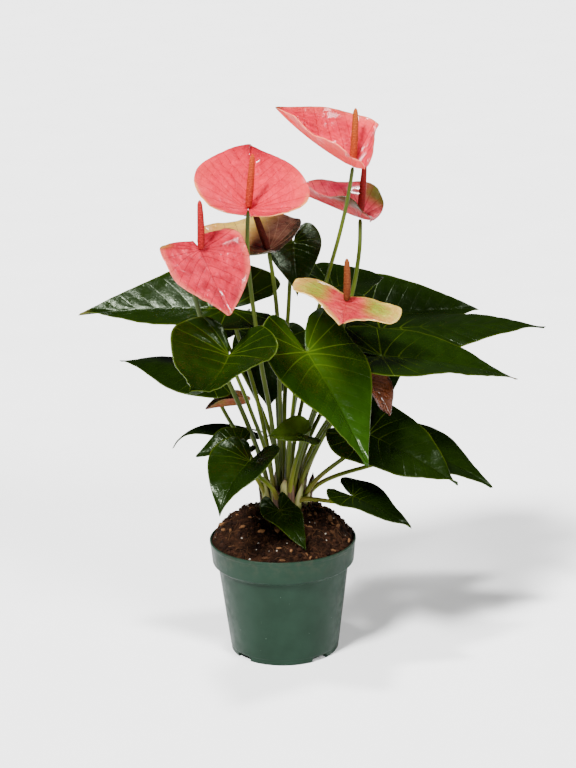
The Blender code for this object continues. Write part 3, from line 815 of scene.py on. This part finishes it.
def pot_plastic():
    """Dark green, with pale specks, upright scratches and a little dust near the rim."""
    look = Look("pot_plastic", 0.42, ior=1.17)
    x, y, z = look.split(look.where)
    look.base = look.mix(look.patches(22, 4, 0.3, 0.7), (0.0066, 0.0180, 0.0105), (0.0086, 0.0228, 0.0138))
    look.lay((0.12, 0.17, 0.14), look.spots(5.5, 0.035, 0.06), look.patches(9, 2, 0.54, 0.58), 0.85)
    upright = look.noise(1.3, 2, where=look.combine(x, y, look.times(z, 0.06)))
    scratch = look.times(look.fit(upright, 0.70, 0.74), look.patches(16, 1, 0.55, 0.62))
    look.lay((0.04, 0.07, 0.05), scratch, 0.3)
    dust = look.fit(z, POT_HEIGHT - DUST_DEPTH, POT_HEIGHT, 0.0, 0.16)
    look.lay((0.07, 0.055, 0.035), dust, look.patches(5, 4, 0.4, 0.7))
    look.swell(look.noise(0.9), 0.03, 0.6)
    look.swell(look.rest(scratch), 0.05)
    look.swell(look.noise(30, 2), 0.35, 0.4)
    return look.finish(look.patches(8, 3, 0.3, 0.7, 0.36, 0.5))


def crown_bark():
    look = Look("crown_bark", 0.8)
    ring = look.noise(3, 5, 0.65)
    look.base = look.mix(look.fit(ring, 0.35, 0.7), (0.018, 0.009, 0.004), (0.08, 0.055, 0.018))
    look.swell(ring, 0.8, 0.9)
    return look.finish(look.fit(ring, 0.3, 0.7, 0.7, 0.9))


def sheath_paper():
    """Fresh and green on some stalks, dry and brown on others, and browner towards the point."""
    look = Look("sheath_paper", 0.6)
    along, turn, shade = look.split(look.given("mark", "Vector"))
    fibre = look.noise(6, 4, where=look.combine(look.times(turn, 0.05), look.times(along, 0.004), shade))
    tone = look.fit(fibre, 0.3, 0.7)
    look.base = look.mix(tone, (0.30, 0.27, 0.09), (0.17, 0.19, 0.04))
    look.lay(look.mix(tone, (0.12, 0.05, 0.016), (0.04, 0.016, 0.006)), look.fit(shade, 0.45, 0.6))
    look.lay((0.10, 0.04, 0.015), look.fit(along, 0.75, 1.0, 0.0, 0.8))
    look.swell(fibre, 0.3, 0.8)
    return look.finish(look.fit(fibre, 0.3, 0.7, 0.45, 0.7))


def root_skin():
    look = Look("root_skin", 0.75)
    grain = look.noise(1.6, 4)
    look.base = look.mix(look.fit(grain, 0.35, 0.7), (0.016, 0.008, 0.004), (0.065, 0.034, 0.014))
    look.swell(grain, 0.2, 0.7)
    return look.finish(look.fit(grain, 0.3, 0.7, 0.65, 0.85))


def floor_paper():
    look = Look("floor_paper", 0.9)
    grain = look.noise(120)
    look.base = look.mix(look.fit(grain, 0.3, 0.7), (0.93, 0.93, 0.93), (0.95, 0.95, 0.95))
    look.swell(look.noise(2, 2), 0.02, 0.3)
    return look.finish(look.fit(grain, 0.3, 0.7, 0.88, 0.95))


# ---- colours over each blade ----

DEEP_GREEN = (0.0034, 0.0082, 0.0007)
MID_GREEN = (0.0044, 0.0110, 0.0008)
BRIGHT_GREEN = (0.0036, 0.0105, 0.0004)
YOUNG_GREEN = (0.0480, 0.0850, 0.0080)


def step(value, low, high):
    """0 below low, 1 above high, and smooth between them."""
    t = np.clip((value - low) / (high - low), 0, 1)
    return t * t * (3 - 2 * t)


def blend(base, other, share):
    """A colour for each place, a share of the way from a base to another colour."""
    return base + (np.array(other) - base) * np.clip(share, 0, 1)[:, None]


def leaf_paint(base, tip=None, painted_centre_light=0.0, painted_sunlight=0.0):
    """A leaf's green, a little lighter in patches, paler at its margin and, in some, with a dry tip. Some
    also carry painted light: a lighter middle round the stalk end and a lighter half towards the tip.
    """
    def paint(along, across, share, grain):
        colour = blend(base, [c * 1.6 for c in base], 0.5 * grain)
        colour = blend(colour, [c * 0.6 for c in base], -0.5 * grain)
        # painted light: the middle of the blade round the stalk end is made lighter, as if light fell there
        colour = blend(colour, (0.035, 0.075, 0.003), painted_centre_light * (1 - step(np.hypot(along, across), 0.0, 0.6)))
        colour = blend(colour, (0.030, 0.055, 0.003), 0.3 * step(share, 0.95, 1.0))
        # painted light: the blade is made lighter from its middle towards the tip, as if sunlit
        colour = blend(colour, (0.0115, 0.0350, 0.0020), painted_sunlight * step(along, 0.25, 0.75))
        if tip:
            colour = blend(colour, tip, step(along, 0.90, 0.99))
        return colour
    return paint


def coral_top_right(along, across, share, grain):
    colour = blend((0.792, 0.0115, 0.0509), (0.896, 0.0389, 0.0681), 0.45 + 0.6 * grain)
    colour = blend(colour, (0.916, 0.108, 0.0854), 0.6 * step(share, 0.66, 1.0))
    colour = blend(colour, (0.826, 0.216, 0.0935), 0.6 * step(share, 0.95, 1.0))
    return blend(colour, (0.18, 0.09, 0.034), step(along, 0.91, 1.0))


def coral_top_left(along, across, share, grain):
    colour = blend((0.75, 0.0101, 0.044), (0.896, 0.0274, 0.0624), 0.45 + 0.6 * grain)
    colour = blend(colour, (0.323, 0.0009, 0.0085), 0.65 * step(along, 0.70, 1.0))
    colour = blend(colour, (0.916, 0.0792, 0.0739), 0.5 * step(share, 0.6, 1.0) * (1 - step(along, 0.3, 0.8)))
    lobes = step(share, 0.92, 1.0) * (1 - step(along, -0.05, 0.15))
    return blend(colour, (0.853, 0.378, 0.085), 0.8 * lobes)


def pink_front_left(along, across, share, grain):
    colour = blend((0.479, 0.0101, 0.0304), (0.896, 0.0302, 0.0681), 0.40 + 0.7 * grain)
    colour = blend(colour, (0.92, 0.18, 0.12), 0.65 * step(share, 0.82, 1.0))
    colour = blend(colour, (0.323, 0.306, 0.0255), step(-along, 0.05, 0.2) * step(-across, 0.45, 0.8))
    return blend(colour, (0.92, 0.295, 0.154), 0.5 * step(along, 0.88, 1.0))


def faded_old_left(along, across, share, grain):
    colour = blend((0.0816, 0.0225, 0.0163), (0.265, 0.134, 0.0762), 0.5 * grain + 0.25)
    colour = blend(colour, (0.795, 0.535, 0.087), step(along, 0.15, 0.60))
    middle = step(along, 0.25, 0.5) * step(0.4 - np.abs(across), 0, 0.3)
    colour = blend(colour, (0.776, 0.19, 0.087), 0.45 * middle)
    green = step(across, 0.25, 0.7) * (1 - step(along, 0.25, 0.5))
    colour = blend(colour, (0.00816, 0.0135, 0.0034), green)
    return blend(colour, (0.00952, 0.015, 0.00408), 0.85 * step(-along, 0.0, 0.14))


def dusky_right(along, across, share, grain):
    colour = blend((0.653, 0.0198, 0.068), (0.893, 0.099, 0.109), 0.45 + 0.6 * grain)
    colour = blend(colour, (0.174, 0.0495, 0.0218), 0.6 * step(share, 0.87, 1.0))
    colour = blend(colour, (0.0109, 0.024, 0.0034), step(across, 0.30, 0.75) * (1 - step(along, 0.2, 0.5)))
    return blend(colour, (0.0884, 0.12, 0.0136), step(-across, 0.35, 0.8) * (1 - step(along, 0.0, 0.3)))


def peach_low_right(along, across, share, grain):
    colour = blend((0.621, 0.0128, 0.039), (0.864, 0.112, 0.09), 0.40 + 0.6 * grain)
    lobes = step(np.abs(across), 0.22, 0.55) * (1 - step(along, 0.20, 0.60))
    colour = blend(colour, (0.27, 0.368, 0.024), lobes)
    colour = blend(colour, (0.756, 0.432, 0.09), 0.8 * step(share, 0.62, 0.92))
    colour = blend(colour, (0.351, 0.432, 0.03), 0.6 * lobes * step(0.3 + 0.6 * grain, 0, 0.6))
    return blend(colour, (0.864, 0.672, 0.18), 0.7 * step(share, 0.93, 1.0))


def bud_paint(along, across, share, grain):
    return blend((0.163, 0.0338, 0.0204), (0.0816, 0.105, 0.0122), 0.5 + 0.6 * grain)


def withered_paint(along, across, share, grain):
    colour = blend((0.150, 0.034, 0.008), (0.260, 0.075, 0.020), 0.4 + 0.6 * grain)
    return blend(colour, (0.050, 0.012, 0.004), step(share, 0.85, 1.0))


# The relief of blades that differ from their outline's own. A leaf and a spathe of one name share a row.
RELIEF = {
    "low_right": (2.8, 1.2, 0.8, 0.4),
    "old_left": (2.4, 1.8, 0.8, 0.4),
    "right": (2.6, 1.6, 1.0, 0.5),
    "top_right": (1.6, 1.7, 1.3, 0.7),
    "top_left": (1.8, 1.2, 1.3, 0.6),
    "front_left": (1.8, 1.6, 1.4, 0.8),
    "front_centre": (1.6, 1.4, 0.95, 0.55),
    "withered_right": (1.2, 1.4, 0.8, 0.4),
}
LEAF_PAINT = {
    # painted light on these leaves: a lighter middle and, on front_centre, a lighter half towards the tip
    "front_centre": leaf_paint(BRIGHT_GREEN, painted_centre_light=0.45, painted_sunlight=0.8),
    "front_left": leaf_paint(MID_GREEN, painted_centre_light=0.15),
    "young": leaf_paint(YOUNG_GREEN, painted_centre_light=0.3),
    "far_left": leaf_paint(MID_GREEN, tip=(0.14, 0.11, 0.02)),
    "lower_right": leaf_paint(MID_GREEN, tip=(0.07, 0.035, 0.012)),
    "low_left": leaf_paint(MID_GREEN),
    "soil_front": leaf_paint(DEEP_GREEN),
}
# For each spathe: the paint of its top, its veins, its underside and its slot
SPATHE_PAINT = {
    "top_right": (coral_top_right, (0.50, 0.002, 0.014), (0.66, 0.110, 0.060), "spathe_coral"),
    "top_left": (coral_top_left, (0.48, 0.002, 0.010), (0.60, 0.090, 0.040), "spathe_coral"),
    "front_left": (pink_front_left, (0.26, 0.001, 0.008), (0.50, 0.250, 0.060), "spathe_pink"),
    "old_left": (faded_old_left, (0.34, 0.190, 0.110), (0.07, 0.055, 0.016), "spathe_faded"),
    "right": (dusky_right, (0.22, 0.003, 0.010), (0.18, 0.050, 0.022), "spathe_dusky"),
    "low_right": (peach_low_right, (0.50, 0.016, 0.024), (0.18, 0.200, 0.030), "spathe_peach"),
    "rolled_left": (bud_paint, (0.14, 0.008, 0.008), (0.24, 0.050, 0.030), "spathe_bud"),
    "withered_right": (withered_paint, (0.05, 0.008, 0.004), (0.13, 0.045, 0.015), "spathe_withered"),
}
# For each spadix: its colour at the foot and at the tip, and its slot
SPADIX_PAINT = {
    "top_right": ((0.56, 0.030, 0.006), (0.50, 0.120, 0.010), "spadix_orange"),
    "top_left": ((0.52, 0.014, 0.008), (0.62, 0.080, 0.008), "spadix_orange"),
    "front_left": ((0.44, 0.004, 0.010), (0.50, 0.014, 0.020), "spadix_red"),
    "old_left": ((0.040, 0.008, 0.004), (0.070, 0.018, 0.007), "spadix_brown"),
    "right": ((0.18, 0.003, 0.006), (0.30, 0.012, 0.014), "spadix_red"),
    "low_right": ((0.13, 0.040, 0.010), (0.26, 0.080, 0.016), "spadix_orange"),
}


# ---- pot, soil and crown ----

def rounded(corners, steps=4):
    """A profile with its corners rounded. Each corner is (r, z, radius)."""
    profile = []
    for k, (r, z, size) in enumerate(corners):
        here = Vector((r, z))
        if size == 0 or k in (0, len(corners) - 1):
            profile.append((r, z))
            continue
        before = Vector(corners[k - 1][:2]) - here
        after = Vector(corners[k + 1][:2]) - here
        a = here + before.normalized() * size
        b = here + after.normalized() * size
        for i in range(steps + 1):
            t = i / steps
            point = a * (1 - t) ** 2 + here * 2 * t * (1 - t) + b * t**2
            profile.append((point.x, point.y))
    return profile


def add_pot(material):
    band_foot = POT_HEIGHT - BAND_DEPTH
    body_top = band_foot - STEP_DEPTH
    body = RIM_RADIUS - BAND_TAPER - BAND_STEP
    lip = 0.7 * MM
    corners = [
        (0, POT_FLOOR, 0),
        (BASE_RADIUS - POT_WALL, POT_FLOOR, 1.0 * MM),
        (body - POT_WALL, body_top, 1.0 * MM),
        (RIM_RADIUS - BAND_TAPER - POT_WALL, band_foot, 1.0 * MM),
        (RIM_RADIUS - POT_WALL, POT_HEIGHT, lip),
        (RIM_RADIUS, POT_HEIGHT, lip),
        (RIM_RADIUS, POT_HEIGHT - 2.6 * MM, 0.5 * MM),
        (RIM_RADIUS - 0.5 * MM, POT_HEIGHT - 3.2 * MM, 0.4 * MM),
        (RIM_RADIUS - BAND_TAPER, band_foot, 0.8 * MM),
        (body, body_top, 0.8 * MM),
        (BASE_RADIUS + 0.4 * MM, 5.0 * MM, 0.4 * MM),
        (BASE_RADIUS, 4.4 * MM, 0.3 * MM),
        (BASE_RADIUS - 0.2 * MM, 0, 1.2 * MM),
        (BASE_RADIUS - 4 * MM, 0, 0.3 * MM),
        (BASE_RADIUS - 4.5 * MM, 0.8 * MM, 0.3 * MM),
        (0, 0.8 * MM, 0),
    ]
    profile = rounded(corners)
    points = [(0, 0, profile[0][1])]
    for radius, height in profile[1:-1]:
        points += [(radius * cos(a), radius * sin(a), height) for a in circle(POT_SIDES)]
    points.append((0, 0, profile[-1][1]))
    pot = mesh_object("pot_shell", points, closed_rings(len(profile) - 2, POT_SIDES))
    finish_piece(pot, [material], "pot_plastic", ["pot"])
    for k in range(NOTCH_COUNT):
        turn = Matrix.Rotation(radians(NOTCH_START + k * 360 / NOTCH_COUNT), 4, "Z")
        size = Matrix.Diagonal((NOTCH_REACH * 2, NOTCH_WIDTH, NOTCH_HEIGHT * 2, 1))
        mesh = bmesh.new()
        bmesh.ops.create_cube(mesh, size=1, matrix=turn @ Matrix.Translation((BASE_RADIUS, 0, 0)) @ size)
        uprights = [e for e in mesh.edges if abs((e.verts[0].co - e.verts[1].co).normalized().z) < 0.5]
        bmesh.ops.bevel(mesh, geom=uprights, offset=1.2 * MM, segments=3, affect="EDGES")
        data = bpy.data.meshes.new(f"notch_{k}")
        mesh.to_mesh(data)
        mesh.free()
        cutter = add_object(f"notch_{k}", data)
        cut = pot.modifiers.new(cutter.name, "BOOLEAN")
        cut.operation = "DIFFERENCE"
        cut.object = cutter
        settle(pot)
        bpy.data.objects.remove(cutter)
    return pot


def settle(obj):
    """Makes a piece's modifiers part of its mesh."""
    graph = bpy.context.evaluated_depsgraph_get()
    graph.update()
    data = bpy.data.meshes.new_from_object(obj.evaluated_get(graph))
    obj.modifiers.clear()
    obj.data = data


def soil_top(x, y):
    """The height of the heaped soil over a place inside the rim."""
    room = RIM_RADIUS - POT_WALL
    share = min(1.0, hypot(x, y) / room)
    front = max(0.0, -y / room)
    heap = (HEAP + SOIL_BELOW_RIM) * (1 - share**HEAP_SQUARENESS) * (1 - HEAP_SLOPE * front)
    spot = Vector((x, y, 0))
    lumps = noise.fractal(spot / (9 * MM), 0.8, 2.0, 4) * 1.9 * MM + noise.noise(spot / (1.7 * MM)) * 0.5 * MM
    return POT_HEIGHT - SOIL_BELOW_RIM + heap + lumps * min(1.0, 4 * (1.05 - share))


def add_soil(material):
    rings, sides = 64, 180
    room = RIM_RADIUS - POT_WALL - 0.15 * MM
    points = [(0, 0, soil_top(0, 0))]
    for k in range(1, rings + 1):
        radius = room * sin(pi / 2 * k / rings)
        for a in circle(sides):
            x, y = radius * cos(a), radius * sin(a)
            points.append((x, y, soil_top(x, y)))
    deep = POT_HEIGHT - BAND_DEPTH
    foot = room - BAND_TAPER
    points += [(foot * cos(a), foot * sin(a), deep) for a in circle(sides)]
    points.append((0, 0, deep))
    obj = mesh_object("soil_mound", points, closed_rings(rings + 1, sides))
    return finish_piece(obj, [material], "potting_soil", ["soil"])


def ball():
    """The points and faces of a ball of radius 1."""
    mesh = bmesh.new()
    bmesh.ops.create_icosphere(mesh, subdivisions=2, radius=1)
    points = np.array([v.co[:] for v in mesh.verts])
    faces = [tuple(v.index for v in f.verts) for f in mesh.faces]
    mesh.free()
    return points, faces


def lump(shape, centre, size, stretch, seed):
    """A rough stone or chip from a ball, as (points, faces, marks)."""
    points, faces = shape
    turn = np.array(Matrix.Rotation(rng.uniform(0, 6.28), 3, Vector(rng.normal(size=3)).normalized()))
    dents = 1 + 0.35 * np.array([noise.noise(Vector(p) * 1.4 + Vector((seed, 0, 0))) for p in points])
    dented = (points * dents[:, None] * np.array(stretch)) @ turn.T * size + centre
    marks = np.full((len(points), 1), rng.uniform(0, 1))
    return dented, faces, marks


def on_soil():
    """A chosen place on the soil, clear of the crown."""
    room = RIM_RADIUS - POT_WALL - 2 * MM
    while True:
        radius = room * sqrt(rng.uniform(0, 1))
        angle = rng.uniform(0, 2 * pi)
        x, y = radius * cos(angle), radius * sin(angle)
        if hypot(x / (CROWN_WIDTH * 0.46), (y - CROWN_BACK) / (CROWN_DEPTH * 0.46)) > 1:
            return np.array((x, y, soil_top(x, y)))


def add_bits(name, count, sizes, stretch, sink, material):
    """Loose pieces on the soil, of sizes in mm, with a share of each above or below it."""
    parts = []
    shape = ball()
    for k in range(count):
        size = rng.uniform(*sizes) * MM
        where = on_soil() + np.array((0, 0, size * sink))
        low, high = stretch
        flat = (1, rng.uniform(low, high), rng.uniform(low, high) * 0.8)
        parts.append(lump(shape, where, size, flat, k * 1.9))
    points, faces, marks = joined(parts)
    obj = mesh_object(name, points, faces, {"shade": marks[:, 0]}, smooth_shading=False)
    return finish_piece(obj, [material], "potting_soil")


def add_fibres(material):
    """Threads of peat that lie curled on the soil."""
    parts = []
    for _ in range(FIBRES):
        start = on_soil()
        angle = rng.uniform(0, 2 * pi)
        length = rng.uniform(4, 13) * MM
        curl = rng.uniform(-1.5, 1.5)
        points = []
        for t in np.linspace(0, 1, 7):
            a = angle + curl * t
            x = start[0] + cos(a) * length * t
            y = start[1] + sin(a) * length * t
            if hypot(x, y) > RIM_RADIUS - POT_WALL - 1 * MM:
                break
            rise = sin(pi * t) * rng.uniform(0.2, 2.4) * MM
            points.append((x, y, soil_top(x, y) + rise + 0.2 * MM))
        if len(points) < 4:
            continue
        fine = smooth(points, np.linspace(0, len(points) - 1, 10))
        radii = np.full(10, rng.uniform(0.12, 0.26) * MM)
        shape, faces, marks = tube_mesh(fine, radii, 5)
        parts.append((shape, faces, np.full((len(shape), 1), rng.uniform(0, 1))))
    points, faces, marks = joined(parts)
    obj = mesh_object("soil_fibres", points, faces, {"shade": marks[:, 0]})
    return finish_piece(obj, [material], "potting_soil")


def add_crown(material):
    """The knobbly top of the short stem, ringed by the scars of old leaves."""
    rings, sides = 26, 72
    points = [(0, CROWN_BACK, CROWN_TOP)]
    for k in range(1, rings + 1):
        t = k / rings
        for a in circle(sides):
            x = CROWN_WIDTH / 2 * sin(t * 1.5) * cos(a)
            y = CROWN_BACK + CROWN_DEPTH / 2 * sin(t * 1.5) * sin(a)
            z = CROWN_TOP - 9 * MM * t**3
            bump = noise.fractal(Vector((x, y, z)) / (5 * MM), 0.8, 2.0, 3) * 1.3 * MM
            points.append((x, y, z + bump - 0.8 * MM))
    faces = [(0, 1 + i, 1 + (i + 1) % sides) for i in range(sides)]
    faces += bands(rings, sides, 1)
    faces.append(tuple(range(1 + (rings - 1) * sides, 1 + rings * sides))[::-1])
    obj = mesh_object("crown_top", points, faces)
    return finish_piece(obj, [material], "crown_stem", ["crown"])


def add_sheaths(stands, material):
    """The papery sheaths round the feet of the stalks, split down one side and drawn to a point."""
    parts = []
    for k, foot in enumerate(stands):
        height = rng.uniform(13, 30) * MM
        opening = rng.uniform(0.45, 0.75)
        turn = atan2(foot.y - CROWN_BACK, foot.x) + rng.uniform(-0.8, 0.8)
        outward = Vector((foot.x, foot.y - CROWN_BACK, 0)) / (CROWN_WIDTH / 2)
        rows, columns = 14, 9
        grid, marks = [], []
        shade = rng.uniform(0, 1)
        for i in range(rows + 1):
            t = i / rows
            radius = FOOT_RADIUS * (1.5 - 0.18 * t) + 0.5 * MM * t**2
            centre = foot + outward * (t * height * 0.12) + Vector((0, 0, height * t - 3 * MM))
            span = 2 * pi * opening * (1 - t**2.2) + 0.1
            for j in range(columns + 1):
                a = turn + span * (j / columns - 0.5)
                ring = radius * (1 + 0.12 * sin(5 * a + k) * t)
                grid.append(centre + Vector((cos(a), sin(a), 0)) * ring)
                marks.append((t, j / columns, shade))
        faces = []
        for i in range(rows):
            for j in range(columns):
                a = i * (columns + 1) + j
                faces.append((a, a + 1, a + columns + 2, a + columns + 1))
        parts.append((np.array([tuple(p) for p in grid]), faces, np.array(marks)))
    points, faces, marks = joined(parts)
    obj = mesh_object("crown_sheaths", points, faces, {"mark": marks})
    thicken(obj, SHEATH_THICKNESS)
    return finish_piece(obj, [material], "crown_stem")


def add_roots(material):
    """Wiry roots that leave the crown and run down into the soil."""
    parts = []
    for k in range(ROOTS):
        angle = rng.uniform(-2.9, 0.3) if k % 4 else rng.uniform(0, 6.28)
        way = Vector((cos(angle), sin(angle), 0))
        start = Vector((way.x * CROWN_WIDTH * 0.42, CROWN_BACK + way.y * CROWN_DEPTH * 0.42, 0))
        side = Vector((-way.y, way.x, 0)) * rng.uniform(-0.5, 0.5)
        reach = rng.uniform(9, 20) * MM
        points = []
        for t in np.linspace(0, 1, 8):
            p = start + (way + side * t) * reach * t
            rise = (1 - t) ** 1.5 * rng.uniform(3.5, 4.5) * MM - 2.2 * MM * t**2
            points.append((p.x, p.y, soil_top(p.x, p.y) + rise))
        fine = smooth(points, np.linspace(0, 7, 18))
        shape, faces, marks = tube_mesh(fine, np.linspace(1.1, 0.5, 18) * MM, 8)
        parts.append((shape, faces, marks))
    points, faces, marks = joined(parts)
    obj = mesh_object("crown_roots", points, faces)
    return finish_piece(obj, [material], "crown_stem")


# ---- the scene ----

def add_sun(name, heading, height, softness, strength):
    """A far, soft lamp shining from a heading and a height above the floor, in degrees."""
    data = bpy.data.lights.new(name, "SUN")
    data.angle = radians(softness)
    data.energy = strength
    light = add_object(name, data)
    light.rotation_euler = (-pointing(heading, height)).to_track_quat("-Z", "Y").to_euler()


def add_studio():
    corners = [(-1, -1, 0), (1, -1, 0), (1, 1, 0), (-1, 1, 0)]
    floor = mesh_object("floor", FLOOR_SIZE * np.array(corners), [(0, 1, 2, 3)], smooth_shading=False)
    floor.data.materials.append(floor_paper())
    for sun in SUNS:
        add_sun(*sun)
    world = bpy.data.worlds.new("studio")
    world.use_nodes = True
    sky = world.node_tree.nodes["Background"].inputs
    sky["Color"].default_value = (1, 1, 1, 1)
    sky["Strength"].default_value = SKY_STRENGTH
    bpy.context.scene.world = world


def add_camera():
    """The camera looks down on the pot from in front, a little turned about its own axis."""
    data = bpy.data.cameras.new("camera")
    data.lens = CAMERA_LENS
    data.clip_start = 0.01
    camera = add_object("camera", data)
    pitch, yaw, roll = (radians(angle) for angle in CAMERA_TURN)
    forward = Vector((-sin(yaw) * cos(pitch), cos(yaw) * cos(pitch), sin(pitch)))
    right = forward.cross(Vector((0, 0, 1))).normalized()
    up = right.cross(forward)
    turn = Matrix.Rotation(roll, 3, forward)
    right, up = turn @ right, turn @ up
    axes = Matrix((right, up, -forward)).transposed()
    camera.matrix_world = Matrix.Translation(CAMERA_AT) @ axes.to_4x4()
    bpy.context.scene.camera = camera


def add_plant():
    leaf_skins = [leaf_top(), leaf_under()]
    spathe_skins = [spathe_top(), spathe_under()]
    stalk = stalk_skin()
    spike = spadix_skin()
    rows = [("leaf", key, blade, False) for key, blade in LEAVES.items()]
    rows += [("leaf", key, blade, True) for key, blade in LEAFLETS.items()]
    rows += [("spathe", key, blade, True) for key, blade in ODD_SPATHES.items()]
    rows += [("spathe", key, flower.spathe, False) for key, flower in FLOWERS.items()]
    stands = feet([row[2] for row in rows])
    for seed, ((kind, key, blade, one_piece), foot) in enumerate(zip(rows, stands)):
        if kind == "leaf":
            outline, skins, stalk_name, top = LEAF, leaf_skins, f"petiole_{key}", LEAF_STALK_TOP
            slot = "leaf_young" if key == "young" else "leaf_green"
            paint, colours = LEAF_PAINT.get(key, leaf_paint(DEEP_GREEN)), {}
        else:
            outline, skins, stalk_name, top = SPATHE, spathe_skins, f"peduncle_{key}", FLOWER_STALK_TOP
            paint, vein, back, slot = SPATHE_PAINT[key]
            colours = {"vein": vein, "back": back}
        relief = RELIEF.get(key, outline.relief)
        add_blade(f"{kind}_{key}", blade, outline, relief, paint, colours, skins, slot, seed)
        add_stalk(stalk_name, blade, top, foot, kind == "leaf", one_piece, [stalk], seed)
    for seed, (key, flower) in enumerate(FLOWERS.items()):
        low, high, slot = SPADIX_PAINT[key]
        add_spadix(f"spadix_{key}", flower, (low, high), spike, slot, seed)
    return stands


def main():
    add_camera()
    stands = add_plant()
    add_pot(pot_plastic())
    add_soil(soil_dirt())
    add_crown(crown_bark())
    add_sheaths(stands, sheath_paper())
    add_roots(root_skin())
    add_bits("soil_crumbs", 420, (0.8, 2.4), (0.6, 1.0), 0.2,
             bits("soil_crumb", (0.006, 0.0025, 0.0015), (0.034, 0.013, 0.006), 1.2, 0.95))
    add_bits("soil_bark", 90, (1.2, 3.4), (0.3, 0.8), 0.3,
             bits("bark_chip", (0.03, 0.012, 0.005), (0.17, 0.080, 0.032), 1.4, 0.85))
    add_bits("soil_perlite", 40, (0.35, 0.95), (0.7, 1.0), 0.6,
             bits("perlite", (0.24, 0.21, 0.17), (0.42, 0.38, 0.32), 0.8, 0.9))
    add_fibres(bits("peat_fibre", (0.012, 0.005, 0.0025), (0.07, 0.031, 0.013), 1.0, 0.9))
    add_studio()


main()
